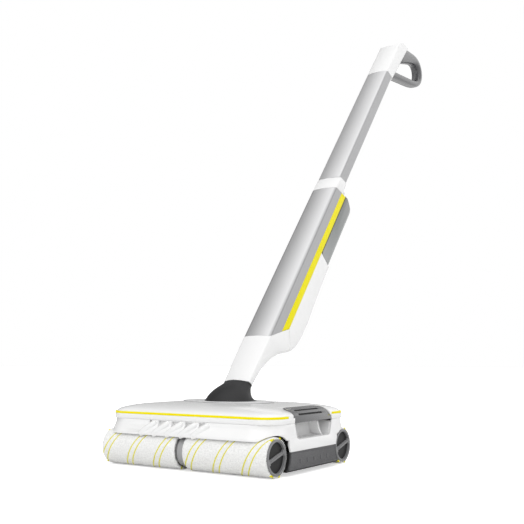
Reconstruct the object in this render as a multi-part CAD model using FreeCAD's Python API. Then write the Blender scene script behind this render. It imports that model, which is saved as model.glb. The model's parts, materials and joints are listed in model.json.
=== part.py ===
import math
import os

import FreeCAD
import Part
from FreeCAD import Placement, Rotation, Vector

os.makedirs("parts", exist_ok=True)

# Cordless wet dry floor scrubber. Millimetres, +Z up, -Y is the front, the floor is z = 0 and the origin
# is on the floor under the middle of the head. The handle leans back (+Y) in the plane x = 0.

# ---- Driving dimensions: head ----------------------------------------------------------------------
HEAD_HALF_X = 161.0        # outer face of the side walls
COVER_HALF_Y = 119.0       # front and rear faces of the cover
LIP_HALF_Y = 129.0         # front and rear lips of the skirt, over the rollers
COVER_CORNER_R = 36.0
LIP_CORNER_R = 44.0
AXLE_Y = 103.5             # roller axles, in front of and behind the middle
PILE_R = 29.5              # microfibre pile, which stands on the floor
AXLE_Z = PILE_R
ROLLER_START_X = 7.5       # inner end of each roller half
ROLLER_END_X = 157.5       # outer face of each roller's end cap
CAP_R = 25.9
CORE_R = 22.0
HUB_R = 13.0
COVER_EDGE_Z = 75.0        # lower edge of the cover, top of the skirt
TRIM_Z = (82.6, 86.0)      # yellow trim line
TRIM_END_Y = 75.5          # it stops here, short of the grip pads
CROWN_Z = 100.2
PLATFORM_Z = 101.0         # flat top of the oval round the joint
LIP_Z = 52.0
SIDE_WALL_Z = 34.5
BAND_Z = 8.5
ARCH_R = 33.0              # wheel arches in the side walls

# ---- Driving dimensions: drive ---------------------------------------------------------------------
SHAFT_Y = 14.0             # motor shaft at -SHAFT_Y, jackshaft at +SHAFT_Y
SHAFT_Z = 66.0
SMALL_PULLEY_R = 9.0
AXLE_PULLEY_R = 18.0
CASE_HALF_X = 6.0          # the gearbox stands in the gap between the roller halves
GEAR_TEETH = 20
RUN = 0.05                 # radial clearance of a running fit

# ---- Driving dimensions: joint and handle ----------------------------------------------------------
LEAN_DEG = 39.76           # handle axis, back from vertical
AXIS_Z = 73.2              # height at which the handle's own axis crosses x = y = 0
PIVOT_S = 24.5             # cardan centre, along the handle
PIVOT_B = -12.5            # and across it
NECK_S = 61.6              # lower end of the neck
SHELL_S = 158.0            # lower end of the silver front shell
BODY_TOP_S = 568.0
COLLAR_S = 602.7
TUBE_TOP_S = 1009.3
CAP_TOP_S = 1122.0
BODY_HALF_X = 28.4
TUBE_HALF_X = 26.2
FRONT_B = -22.0            # front face of the handle
STRIP_B = (4.5, 21.0)      # yellow side strips
TANK_BACK_B = 65.0
TANK_S = 414.7             # lower end of the fresh water tank
SLANT = math.tan(math.radians(22.0))   # the ring joints rise towards the back
SHELL = 1.8


# ---- Helpers ---------------------------------------------------------------------------------------
def block(x, y, z):
    return Part.makeBox(x[1] - x[0], y[1] - y[0], z[1] - z[0], Vector(x[0], y[0], z[0]))


def rod(x, y, z, radius):
    """A cylinder along X between the two values of x."""
    return Part.makeCylinder(radius, x[1] - x[0], Vector(x[0], y, z), Vector(1, 0, 0))


def tube(x, y, z, radius, bore):
    return rod(x, y, z, radius).cut(rod((x[0] - 1, x[1] + 1), y, z, bore))


def polygon_prism(points, start, along):
    """A closed polygon of Vectors, extruded from its own plane moved by start."""
    corners = [point + start for point in points]
    face = Part.Face(Part.makePolygon(corners + corners[:1]))
    return face.extrude(along)


def side_prism(points, x):
    """(y, z) points extruded along X. In the handle's own frame they are (b, s) points."""
    corners = [Vector(0, a, b) for a, b in points]
    return polygon_prism(corners, Vector(x[0], 0, 0), Vector(x[1] - x[0], 0, 0))


def front_prism(points, y):
    """(x, z) points extruded along Y."""
    corners = [Vector(a, 0, b) for a, b in points]
    return polygon_prism(corners, Vector(0, y[0], 0), Vector(0, y[1] - y[0], 0))


def rounded_outline(x, y, radii, z):
    """A rectangle in plan with its corners rounded, radii = (front, back)."""
    corners = [(x[1], y[0], -90, radii[0]), (x[1], y[1], 0, radii[1]),
               (x[0], y[1], 90, radii[1]), (x[0], y[0], 180, radii[0])]
    arcs = []
    for corner_x, corner_y, start, radius in corners:
        centre_x = corner_x - math.copysign(radius, corner_x - (x[0] + x[1]) / 2)
        centre_y = corner_y - math.copysign(radius, corner_y - (y[0] + y[1]) / 2)
        circle = Part.Circle(Vector(centre_x, centre_y, z), Vector(0, 0, 1), radius)
        arcs.append(Part.Arc(circle, math.radians(start), math.radians(start + 90)).toShape())
    edges = []
    for arc, after in zip(arcs, arcs[1:] + arcs[:1]):
        edges.append(arc)
        edges.append(Part.LineSegment(arc.lastVertex(True).Point, after.firstVertex(True).Point).toShape())
    return Part.Wire(edges)


def head_outline(half_y, corner, z, inset=0.0):
    x = HEAD_HALF_X - inset
    y = half_y - inset
    return rounded_outline((-x, x), (-y, y), (corner - inset, corner - inset), z)


def slab(wire, height):
    return Part.Face(wire).extrude(Vector(0, 0, height))


def loft(wires, ruled=False):
    return Part.makeLoft(wires, True, ruled)


def fused(shapes):
    whole = shapes[0]
    if len(shapes) > 1:
        whole = whole.multiFuse(shapes[1:])
    return whole.removeSplitter()


def mirrored(shape):
    """The same piece on the other side (-X)."""
    return shape.mirror(Vector(0, 0, 0), Vector(1, 0, 0))


def turned_back(shape):
    """The same piece at the other end (Y reversed)."""
    return shape.mirror(Vector(0, 0, 0), Vector(0, 1, 0))


def rounded(shape, radius, wanted):
    """Fillets the edges that wanted(edge) picks."""
    edges = [edge for edge in shape.Edges if wanted(edge)]
    return shape.makeFillet(radius, edges)


def is_along(edge, direction):
    if not isinstance(edge.Curve, Part.Line):
        return False
    return abs(edge.Curve.Direction.dot(direction)) > 0.999


def leaned(shape):
    """From the handle's own frame (x, b across, s along) to the frame of the whole machine."""
    placed = shape.copy()
    placed.Placement = Placement(Vector(0, 0, AXIS_Z), Rotation(Vector(1, 0, 0), -LEAN_DEG))
    return placed


def save(name, shape):
    shape.exportStep("parts/" + name + ".step")


def save_both_sides(name, right):
    save("right_" + name, right)
    save("left_" + name, mirrored(right))


def roller_space(radius, half_x):
    """The two cylinders round the roller axles."""
    return [rod((-half_x, half_x), y, AXLE_Z, radius) for y in (-AXLE_Y, AXLE_Y)]


# ---- Head shells -----------------------------------------------------------------------------------
PAD_HALF_Y = 57.0
PAD_INNER_X = 132.0
PAD_CORNER_R = 20.0
PAD_SLOTS = ((148.0, 92.0, 28), (155.3, 86.4, 43))      # x, z and slope of the two finger slots
WINDOW_DEPTH_X = 134.0
BAND_T = 2.6
RIB_POCKETS_X = ((-67.5, -61.5), (-50, -34), (-24, -8), (2, 18), (27.5, 43.5))
PORTAL_X = (108, 111)      # the portals that carry the deck


def head_skirt():
    shell = loft([head_outline(LIP_HALF_Y, LIP_CORNER_R, LIP_Z),
                  head_outline(COVER_HALF_Y, COVER_CORNER_R, 68.0),
                  head_outline(COVER_HALF_Y, COVER_CORNER_R, COVER_EDGE_Z)], True)
    sides = block((-HEAD_HALF_X, HEAD_HALF_X), (-75, 75), (SIDE_WALL_Z, 56.0))
    skirt = fused([shell, sides])
    inside = rounded_outline((-158.4, 158.4), (-112, 112), (33, 33), SIDE_WALL_Z - 1)
    skirt = skirt.cut(slab(inside, 50.0))
    pockets = []
    side = [(-135, 62.5), (-121.0, 62.5), (-114.8, 66.0), (-114.8, 73.8), (-135, 73.8)]
    for x in RIB_POCKETS_X:
        pockets.append(side_prism(side, x))
    skirt = skirt.cut(fused(pockets))
    skirt = skirt.cut(fused(roller_space(PILE_R + 1.1, 200)))
    for ends in ((-200, -144), (144, 200)):
        for y in (-AXLE_Y, AXLE_Y):
            skirt = skirt.cut(rod(ends, y, AXLE_Z, ARCH_R))
    recess = [(-51, 51), (51, 51), (58, COVER_EDGE_Z + 1), (-58, COVER_EDGE_Z + 1)]
    for x in ((150, 170), (-170, -150)):
        skirt = skirt.cut(side_prism(recess, x))
    return skirt


def hand_recess():
    """The white pocket behind a side window, open to the outside and to the pad above it."""
    floor = [(-54, 48.8), (54, 48.8), (60, 73.0), (-60, 73.0)]
    space = [(-51.5, 51), (51.5, 51), (58, 80), (-58, 80)]
    pocket = side_prism(floor, (WINDOW_DEPTH_X - 2.2, 159.0))
    pocket = pocket.cut(side_prism(space, (WINDOW_DEPTH_X, 170)))
    return pocket


def pad_space(margin):
    """What the right grip pad takes up in plan, with rounded inner corners, grown by a margin."""
    outline = rounded_outline((PAD_INNER_X - margin, 220), (-PAD_HALF_Y - margin, PAD_HALF_Y + margin),
                              (PAD_CORNER_R + margin, PAD_CORNER_R + margin), COVER_EDGE_Z - 5)
    return slab(outline, 40)


def head_cover():
    edge = slab(head_outline(COVER_HALF_Y, COVER_CORNER_R, COVER_EDGE_Z), TRIM_Z[0] - COVER_EDGE_Z)
    groove = slab(head_outline(COVER_HALF_Y, COVER_CORNER_R, TRIM_Z[0], 2.6), TRIM_Z[1] - TRIM_Z[0])
    crown = loft([rounded_outline((-158.5, 158.5), (-116.5, 116.5), (34, 34), TRIM_Z[1]),
                  rounded_outline((-151, 151), (-109, 109), (34, 34), 91.4),
                  rounded_outline((-118, 118), (-82, 82), (40, 40), 97.0),
                  rounded_outline((-60, 60), (-42, 42), (40, 40), CROWN_Z)], True)
    platform = Part.Face(Part.Wire(Part.Ellipse(Vector(0, 0, 92), 83, 50).toShape()))
    platform = platform.extrude(Vector(0, 0, PLATFORM_Z - 92))
    cover = fused([edge, groove, crown, platform])
    inside = fused([
        slab(head_outline(COVER_HALF_Y, COVER_CORNER_R, COVER_EDGE_Z - 1, 2.7), 7.2),
        loft([rounded_outline((-155, 155), (-113, 113), (31, 31), 81.0),
              rounded_outline((-116, 116), (-80, 80), (38, 38), 93.8),
              rounded_outline((-62, 62), (-40, 40), (38, 38), 97.0)], True)])
    cover = cover.cut(inside)
    cover = cover.cut(Part.makeCylinder(33.0, 40, Vector(0, 0, 80)))
    gap = pad_space(0.8)
    return cover.cut(gap).cut(mirrored(gap))


def trim_ring():
    outer = slab(head_outline(COVER_HALF_Y, COVER_CORNER_R, TRIM_Z[0] + 0.1, 0.3), 3.2)
    inner = slab(head_outline(COVER_HALF_Y, COVER_CORNER_R, TRIM_Z[0], 2.5), 4.0)
    return outer.cut(inner)


def trim_half(front):
    """The front or the rear part of the yellow line: it stops short of the grip pads."""
    keep = (-130, -TRIM_END_Y) if front else (TRIM_END_Y, 130)
    return trim_ring().common(block((-170, 170), keep, (80, 90)))


def grip_pad():
    """The right pad: it wraps from the cover's lower edge up over the slope."""
    outer = [(PAD_INNER_X, 89.0), (PAD_INNER_X, 96.2), (140, 95.0), (148.4, 91.8), (154, 87.6),
             (157.8, 83.6), (160.4, 79.4), (161.6, 76.0), (158.6, 76.0)]
    inner = [(PAD_INNER_X + 2.6, 80.0), (PAD_INNER_X + 2.6, 93.4), (139.2, 92.4), (147.0, 89.4),
             (152.2, 85.4), (155.4, 82.0), (157.6, 78.4), (158.6, 76.0), (158.6, 70.0), (150, 70.0)]
    pad = front_prism(outer, (-PAD_HALF_Y, PAD_HALF_Y)).common(pad_space(0.0))
    pad = pad.cut(front_prism(inner, (3 - PAD_HALF_Y, PAD_HALF_Y - 3)).common(pad_space(-3.0)))
    for x, z, slope in PAD_SLOTS:
        slot = block((-1.6, 1.6), (-37, 37), (-1.6, 4))
        slot.Placement = Placement(Vector(x, 0, z), Rotation(Vector(0, 1, 0), slope))
        pad = pad.cut(slot)
    stem = Part.makeCylinder(3.0, 8.8, Vector(141, 0, 84.0))
    return pad.fuse(stem).removeSplitter()


def latch_springs():
    springs = []
    for x in (-141, 141):
        ring = Part.makeCylinder(5.0, 6.6, Vector(x, 0, 76.8)).cut(
            Part.makeCylinder(3.6, 10, Vector(x, 0, 75)))
        springs.append(ring)
    return Part.makeCompound(springs)


def side_band():
    band = block((158.5, 158.5 + BAND_T), (-82, 82), (BAND_Z, SIDE_WALL_Z - 0.2))
    for y in (-AXLE_Y, AXLE_Y):
        band = band.cut(rod((150, 170), y, AXLE_Z, ARCH_R))
    return band


def head_chassis():
    """Black underframe: a ring round the tank, two portals over it and a deck under the joint."""
    frame = block((-158.3, 158.3), (-80, 80), (6.0, SIDE_WALL_Z))
    frame = frame.cut(block((-132.5, 132.5), (-66, 66), (0, 60)))
    frame = frame.cut(fused(roller_space(PILE_R + 1.6, 200)))
    portals = []
    for x in (PORTAL_X, (-PORTAL_X[1], -PORTAL_X[0])):
        portal = block(x, (-71, 71), (30, 87)).cut(block((-200, 200), (-65.8, 65.8), (0, 50)))
        portals.append(portal)
    deck = block((-PORTAL_X[1], PORTAL_X[1]), (-32, 32), (84, 87))
    shelves = [block((134.5, 153), (-7, 7), (74.6, 76.6)), block((-153, -134.5), (-7, 7), (74.6, 76.6))]
    arms = [block((110, 136), (-7, 7), (74.6, 76.6)), block((-136, -110), (-7, 7), (74.6, 76.6))]
    chassis = fused([frame, deck] + portals + shelves + arms)
    for end in (-1, 1):
        arm_gap = sorted((end * 64.0, end * 82.0))
        chassis = chassis.cut(block((-CASE_HALF_X - 1, CASE_HALF_X + 1), arm_gap, (0, 60)))
        foot_y = sorted((end * 66.0, end * 82.0))
        foot = block((-CASE_HALF_X - 1.5, CASE_HALF_X + 1.5), foot_y, (6, 9))
        foot = foot.cut(fused(roller_space(PILE_R + 1.6, 200)))
        chassis = chassis.fuse(foot)
    return chassis.removeSplitter()


# ---- Drive -----------------------------------------------------------------------------------------
def belt_face(sign, grow):
    """The loop round the small pulley and the axle pulley of one train, grown by a margin."""
    small = Vector(0, sign * SHAFT_Y, SHAFT_Z)
    large = Vector(0, sign * AXLE_Y, AXLE_Z)
    r_small = SMALL_PULLEY_R + grow
    r_large = AXLE_PULLEY_R + grow
    line = large.sub(small)
    length = line.Length
    along = Vector(line).normalize()
    across = Vector(0, -along.z, along.y)
    slope = (r_small - r_large) / length
    rise = math.sqrt(1 - slope * slope)
    sides = [along * slope + across * rise, along * slope - across * rise]
    near = [small + side * r_small for side in sides]
    far = [large + side * r_large for side in sides]
    edges = [Part.LineSegment(near[0], far[0]).toShape(),
             Part.Arc(far[0], large + along * r_large, far[1]).toShape(),
             Part.LineSegment(far[1], near[1]).toShape(),
             Part.Arc(near[1], small - along * r_small, near[0]).toShape()]
    return Part.Face(Part.Wire(edges))


def belt_prism(sign, grow, x):
    face = belt_face(sign, grow)
    face.translate(Vector(x[0], 0, 0))
    return face.extrude(Vector(x[1] - x[0], 0, 0))


def gearbox_half():
    """The right half of the gearbox case, from x = 0 outwards."""
    shell = fused([belt_prism(sign, 5.4, (0, CASE_HALF_X)) for sign in (-1, 1)])
    shell = shell.cut(fused([belt_prism(sign, 3.0, (-1, CASE_HALF_X - 1.2)) for sign in (-1, 1)]))
    for sign in (-1, 1):
        shell = shell.cut(rod((-1, 9), sign * AXLE_Y, AXLE_Z, 9.0))
        shell = shell.cut(rod((-1, 9), sign * SHAFT_Y, SHAFT_Z, 3.0 + RUN))
    return shell


def drive_belts():
    belts = []
    for sign in (-1, 1):
        belts.append(belt_prism(sign, 1.9, (-3, 3)).cut(belt_prism(sign, 0.3, (-4, 4))))
    return Part.makeCompound(belts)


def spur_gear(y, x, phase):
    module = 2 * SHAFT_Y / GEAR_TEETH
    outer = SHAFT_Y + 0.85 * module
    root = SHAFT_Y - 1.15 * module
    pitch_deg = 360.0 / GEAR_TEETH
    points = []
    for tooth in range(GEAR_TEETH):
        for part, radius in ((-0.29, root), (-0.12, outer), (0.12, outer), (0.29, root)):
            angle = math.radians(pitch_deg * (tooth + phase + part))
            points.append((y + radius * math.cos(angle), SHAFT_Z + radius * math.sin(angle)))
    return side_prism(points, x)


def drive_shaft(sign, x, phase):
    """A shaft with its spur gear and its small belt pulley."""
    y = sign * SHAFT_Y
    pieces = [rod(x, y, SHAFT_Z, 3.0), spur_gear(y, (-14.5, -8.5), phase),
              rod((-3.2, 3.2), y, SHAFT_Z, SMALL_PULLEY_R)]
    return fused(pieces)


def drive_motor():
    y = -SHAFT_Y
    can = rod((-96, -38), y, SHAFT_Z, 16.0)
    nose = rod((-38, -34), y, SHAFT_Z, 7.0)
    tail = rod((-100, -96), y, SHAFT_Z, 6.0)
    motor = fused([can, nose, tail]).cut(rod((-60, -30), y, SHAFT_Z, 3.0 + RUN))
    foot = block((-90, -44), (y - 10, y + 10), (81.0, 84.0))
    return motor.fuse(foot).removeSplitter()


def axle(sign):
    y = sign * AXLE_Y
    pieces = [rod((-62, 62), y, AXLE_Z, 6.0), rod((-3.2, 3.2), y, AXLE_Z, AXLE_PULLEY_R)]
    pieces += [rod((8.0, 60), y, AXLE_Z, HUB_R), rod((-60, -8.0), y, AXLE_Z, HUB_R)]
    return fused(pieces)


def axle_bearings():
    rings = []
    for y in (-AXLE_Y, AXLE_Y):
        for x in ((4.8, CASE_HALF_X + 0.6), (-CASE_HALF_X - 0.6, -4.8)):
            rings.append(tube(x, y, AXLE_Z, 8.98, 6.0 + RUN))
    return Part.makeCompound(rings)


# ---- Rollers ---------------------------------------------------------------------------------------
PILE_END_X = 156.6
CAP_INNER_X = 148.0


def roller_core(y):
    return tube((ROLLER_START_X + 0.5, CAP_INNER_X), y, AXLE_Z, CORE_R, HUB_R + 0.6)


def roller_pile(y):
    pile = rod((ROLLER_START_X, PILE_END_X), y, AXLE_Z, PILE_R)
    pile = pile.cut(rod((0, 200), y, AXLE_Z, CORE_R + 0.05))
    pile = pile.cut(rod((CAP_INNER_X, 200), y, AXLE_Z, CAP_R + 0.1))
    return rounded(pile, 2.0, lambda edge: isinstance(edge.Curve, Part.Circle)
                   and abs(edge.Curve.Radius - PILE_R) < 0.01)


def roller_cap(y):
    """End cap: a dished ring with a slanted finger bar across two D-shaped recesses."""
    cap = rod((CAP_INNER_X + 0.05, ROLLER_END_X), y, AXLE_Z, CAP_R)
    hollow = rod((CAP_INNER_X + 2.0, 170), y, AXLE_Z, 20.4)
    bar = block((CAP_INNER_X, 170), (y - 25, y + 25), (AXLE_Z - 2.6, AXLE_Z + 2.6))
    rib = block((CAP_INNER_X, 156.4), (y - 25, y + 25), (AXLE_Z - 1.0, AXLE_Z + 1.0))
    hollow = hollow.cut(bar)
    cap = cap.cut(hollow)
    step = rod((155.4, 170), y, AXLE_Z, 20.4)
    cap = cap.cut(step).fuse(rib)
    cap.rotate(Vector(0, y, AXLE_Z), Vector(1, 0, 0), 30)
    return cap.removeSplitter()


# ---- Dirty water side ------------------------------------------------------------------------------
TANK_HALF_X = 130.0
TANK_HALF_Y = 64.5


def arm_clearance(margin):
    """The space over the tank that the two gearbox arms need, open upwards."""
    arms = fused([belt_prism(sign, 5.4 + margin, (-CASE_HALF_X - margin, CASE_HALF_X + margin))
                  for sign in (-1, 1)])
    shapes = [arms]
    for sign in (-1, 1):
        low, high = sorted((sign * 30.0, sign * 70.0))
        points = [(sign * 30.0, 53.0 - margin), (sign * 70.0, 20.0 - margin), (sign * 70.0, 60.0),
                  (sign * 30.0, 60.0)]
        shapes.append(side_prism(points, (-CASE_HALF_X - margin, CASE_HALF_X + margin)))
    return fused(shapes)


def dirty_water_tank():
    outer = slab(rounded_outline((-TANK_HALF_X, TANK_HALF_X), (-TANK_HALF_Y, TANK_HALF_Y), (10, 10), 12.0),
                 33.8)
    inner = slab(rounded_outline((2 - TANK_HALF_X, TANK_HALF_X - 2), (2 - TANK_HALF_Y, TANK_HALF_Y - 2),
                                 (8, 8), 14.0), 40.0)
    return outer.cut(arm_clearance(1.5)).cut(inner.cut(arm_clearance(3.5)))


def dirty_tank_lid():
    lid = slab(rounded_outline((-TANK_HALF_X, TANK_HALF_X), (-TANK_HALF_Y, TANK_HALF_Y), (10, 10), 45.9),
               2.4)
    lip = slab(rounded_outline((2.3 - TANK_HALF_X, TANK_HALF_X - 2.3), (2.3 - TANK_HALF_Y, TANK_HALF_Y - 2.3),
                               (7, 7), 42.4), 4.0)
    lip = lip.cut(slab(rounded_outline((4.3 - TANK_HALF_X, TANK_HALF_X - 4.3),
                                       (4.3 - TANK_HALF_Y, TANK_HALF_Y - 4.3), (6, 6), 40.0), 5.9))
    lid = lid.fuse(lip).cut(arm_clearance(3.9))
    for x in (-70, 70):
        lid = lid.cut(Part.makeCylinder(9.0, 10, Vector(x, 0, 40)))
    return lid.removeSplitter()


def scraper(sign):
    """Rubber blades beside the roller, in lengths that clear the gearbox arm and the portals."""
    pieces = []
    for x in ((10, 107.5), (111.5, 144), (-144, -111.5), (-107.5, -10)):
        points = [(sign * 66.4, 44), (sign * 70.0, 44), (sign * 72.6, 37.5), (sign * 72.2, 36.6),
                  (sign * 66.4, 41)]
        pieces.append(side_prism(points, x))
    return Part.makeCompound(pieces)


def water_bars():
    bars = []
    for sign in (-1, 1):
        for x in ((10, 140), (-140, -10)):
            bars.append(rod(x, sign * AXLE_Y, 66.0, 3.0))
    return Part.makeCompound(bars)


def feed_hose():
    """From the joint down to the water bars: a straight run each way under the cover."""
    pieces = []
    for sign in (-1, 1):
        run = Part.makeCylinder(2.0, 66.0, Vector(26, sign * 36.0, 80.0), Vector(0, sign, 0))
        drop = Part.makeCylinder(2.0, 11.0, Vector(26, sign * 102.0, 69.0))
        elbow = Part.makeSphere(2.0, Vector(26, sign * 102.0, 80.0))
        pieces += [run, drop, elbow]
    link = Part.makeCylinder(2.0, 72.0, Vector(26, -36.0, 80.0), Vector(0, 1, 0))
    return fused(pieces + [link])


def head_screws():
    screws = []
    for x in (-120, 120):
        for y in (-90, 90):
            shank = Part.makeCylinder(1.6, 9.0, Vector(x, y, 62.0))
            head = Part.makeCylinder(3.2, 2.0, Vector(x, y, 60.0))
            screws.append(shank.fuse(head))
    return Part.makeCompound(screws)


# ---- Joint -----------------------------------------------------------------------------------------
def pivot():
    angle = math.radians(LEAN_DEG)
    y = PIVOT_S * math.sin(angle) + PIVOT_B * math.cos(angle)
    z = AXIS_Z + PIVOT_S * math.cos(angle) - PIVOT_B * math.sin(angle)
    return Vector(0, y, z)


TILT_PIN_R = 3.0
SWIVEL_PIN_R = 2.5
EAR_R = 7.0


def joint_bracket():
    """Two ears on the deck, which hold the tilt pins."""
    centre = pivot()
    base = block((-27, 27), (centre.y - 14, centre.y + 14), (87, 89.4))
    ears = []
    for x in ((18, 22.6), (-22.6, -18)):
        ear = block(x, (centre.y - EAR_R, centre.y + EAR_R), (87, centre.z))
        ears.append(ear.fuse(rod(x, centre.y, centre.z, EAR_R)))
    bracket = fused([base] + ears)
    return bracket.cut(rod((-40, 40), centre.y, centre.z, TILT_PIN_R + RUN))


def joint_yoke():
    """The cross of the joint: a block with the two tilt pins and the swivel pin, which lies across."""
    cross = block((-10, 10), (PIVOT_B - 5, PIVOT_B + 5), (PIVOT_S - 5.5, PIVOT_S + 5.5))
    tilt = rod((-22.6, 22.6), PIVOT_B, PIVOT_S, TILT_PIN_R)
    swivel = Part.makeCylinder(SWIVEL_PIN_R, 15.0, Vector(0, PIVOT_B - 7.5, PIVOT_S), Vector(0, 1, 0))
    return fused([cross, tilt, swivel])


def stem_fork():
    """The fork at the foot of the neck, round the swivel pin in front of and behind the cross."""
    cheeks = []
    for b in ((PIVOT_B - 7.5, PIVOT_B - 5.3), (PIVOT_B + 5.3, PIVOT_B + 7.5)):
        cheek = block((-6, 6), b, (PIVOT_S, NECK_S + 6))
        eye = Part.makeCylinder(6.0, b[1] - b[0], Vector(0, b[0], PIVOT_S), Vector(0, 1, 0))
        cheeks.append(cheek.fuse(eye))
    bridge = block((-6, 6), (PIVOT_B - 7.5, PIVOT_B + 7.5), (PIVOT_S + 16, NECK_S + 6))
    hole = Part.makeCylinder(SWIVEL_PIN_R + RUN, 60, Vector(0, PIVOT_B - 30, PIVOT_S), Vector(0, 1, 0))
    return fused(cheeks + [bridge]).cut(hole)


BOOT_RINGS = ((PLATFORM_Z + 0.1, 0.0, 43.0, 40.0, 0.0), (106.0, 3.0, 37.5, 33.5, 12.0),
              (112.0, 9.0, 33.0, 26.0, 22.0), (118.5, 17.5, 29.5, 18.5, 31.0))


def boot_skin(inset, spare):
    """The boot's surface, moved in by inset and reaching past both ends by spare."""
    rings = []
    for height, back, half_x, half_y, tilt in BOOT_RINGS:
        low = spare if height < 102 else 0.0
        ring = Part.Wire(Part.Ellipse(Vector(0, 0, 0), half_x - inset, half_y - inset).toShape())
        ring.Placement = Placement(Vector(0, back, height - low), Rotation(Vector(1, 0, 0), -tilt))
        rings.append(ring)
    top = Part.Ellipse(Vector(0, PIVOT_B, NECK_S - 0.6 + spare), 26.8 - inset, 10.6 - inset)
    rings.append(leaned(Part.Wire(top.toShape())))
    return loft(rings, True)


def joint_boot():
    """Rubber boot from the platform up to the neck: a leaning funnel with a thin wall."""
    return boot_skin(0.0, 0.0).cut(boot_skin(1.5, 1.0))


# ---- Handle, in its own frame ----------------------------------------------------------------------
def body_section(s, back, half_x, inset=0.0, front=FRONT_B, corner=16.0):
    depth = back - front
    back_r = min(corner, depth * 0.49, half_x * 0.9)
    return rounded_outline((inset - half_x, half_x - inset), (front + inset, back - inset),
                           (max(3.0 - inset, 1.2), max(back_r - inset, 1.5)), s)


NECK_STATIONS = ((NECK_S, -3.0, 26.4), (100, 0.5, 26.8), (132, 10.5, 27.6), (160, 27.0, 28.2),
                 (184, 50.0, 28.4), (204, 63.0, 28.4))
SPINE_HALF_X = 24.4


def neck_solid(inset):
    return loft([body_section(s, back, half_x, inset) for s, back, half_x in NECK_STATIONS])


def neck_housing():
    """White foot of the handle, with the inner spine that carries everything above it."""
    outer = neck_solid(0.0)
    inner = neck_solid(2.0)
    below_parting = side_prism([(-40, 50), (-40, 158), (-19.9, 158), (-19.9, 161), (4.4, 192.6),
                                (STRIP_B[1], 213.3), (56.0, 176.4), (90, 150), (90, 50)], (-40, 40))
    housing = outer.cut(inner).common(below_parting)
    foot = block((-20, 20), (FRONT_B + 2.5, -5.5), (NECK_S, NECK_S + 4))
    spine = block((-SPINE_HALF_X, SPINE_HALF_X), (-18, 20.4), (150, COLLAR_S - 6))
    spine = spine.cut(block((1.6 - SPINE_HALF_X, SPINE_HALF_X - 1.6), (-16.4, 18.8), (148, COLLAR_S + 10)))
    spine = spine.cut(block((-30, 30), (18, 30), (130, 186)))
    tie = block((-27.5, 27.5), (-19.6, -16.4), (146, 157.6))
    return fused([housing, foot, spine, tie, stem_fork()])


def front_profile(inset, s):
    """Front shell section: a slightly crowned face and two flat sides, open at the back."""
    x = BODY_HALF_X - inset
    ridge = FRONT_B + 2.2 + inset
    back = STRIP_B[0] - 0.15
    crown = Part.Arc(Vector(-x + 1.2, ridge - 0.6, s), Vector(0, FRONT_B + inset, s),
                     Vector(x - 1.2, ridge - 0.6, s))
    points = [Vector(-x, back, s), Vector(-x, ridge + 0.8, s), Vector(-x + 1.2, ridge - 0.6, s)]
    other = [Vector(-point.x, point.y, s) for point in reversed(points)]
    edges = [Part.LineSegment(points[0], points[1]).toShape(),
             Part.LineSegment(points[1], points[2]).toShape(),
             crown.toShape(),
             Part.LineSegment(other[0], other[1]).toShape(),
             Part.LineSegment(other[1], other[2]).toShape(),
             Part.LineSegment(other[2], points[0]).toShape()]
    return Part.Wire(edges)


def above(front_s, slope, b_from=FRONT_B):
    """Everything above a plane that rises towards the back."""
    return side_prism([(b_from - 20, front_s - 20 * slope), (b_from + 120, front_s + 120 * slope),
                       (b_from + 120, 2000), (b_from - 20, 2000)], (-60, 60))


def front_shell():
    outer = slab(front_profile(0.0, 140), 500)
    inner = slab(front_profile(SHELL, 130), 520)
    inner = inner.fuse(block((SHELL - BODY_HALF_X, BODY_HALF_X - SHELL), (0, 10), (130, 650)))
    shell = outer.cut(inner)
    shell = shell.common(above(SHELL_S + 0.3, 0.0)).cut(above(BODY_TOP_S, SLANT))
    shell = shell.cut(side_prism([(-19.2, 150), (-19.2, 162.0), (4.6, 193.8), (20, 193.8), (20, 150)],
                                 (-40, 40)))
    return shell


def side_strip():
    low, high = STRIP_B
    points = [(low, 193.4), (high, 214.2), (high, 585.3), (low, 578.6)]
    return side_prism(points, (24.6, BODY_HALF_X + 0.1))


TANK_FRONT_B = STRIP_B[1] + 0.4
FILL_S = 556.0             # filling hole of the fresh water tank
FILL_R = 8.0
SOCKET_S = 330.0           # charge socket in the back cover
SOCKET_R = 6.0
COVER_STATIONS = ((176.5, 44.0), (204, 63.0), (236, 69.0), (272, 70.6), (320, 67.4), (366, 65.4),
                  (TANK_S - 0.4, TANK_BACK_B))


def back_cover():
    low = STRIP_B[1] + 0.1

    def skin(inset):
        return loft([rounded_outline((inset - BODY_HALF_X, BODY_HALF_X - inset), (low - 12, back - inset),
                                     (1.0, 15.0 - inset), s) for s, back in COVER_STATIONS])
    cover = skin(0.0).cut(skin(2.0))
    keep = side_prism([(low, 214.1), (57.0, 176.7), (90, 160), (90, 500), (low, 500)], (-40, 40))
    cap = slab(body_section(TANK_S - 2.6, TANK_BACK_B - 0.5, BODY_HALF_X - 0.5, 0.0, low, 14.5), 2.2)
    socket_hole = Part.makeCylinder(SOCKET_R, 20, Vector(0, 54, SOCKET_S), Vector(0, 1, 0))
    return fused([cover.common(keep), cap]).cut(socket_hole)


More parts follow.
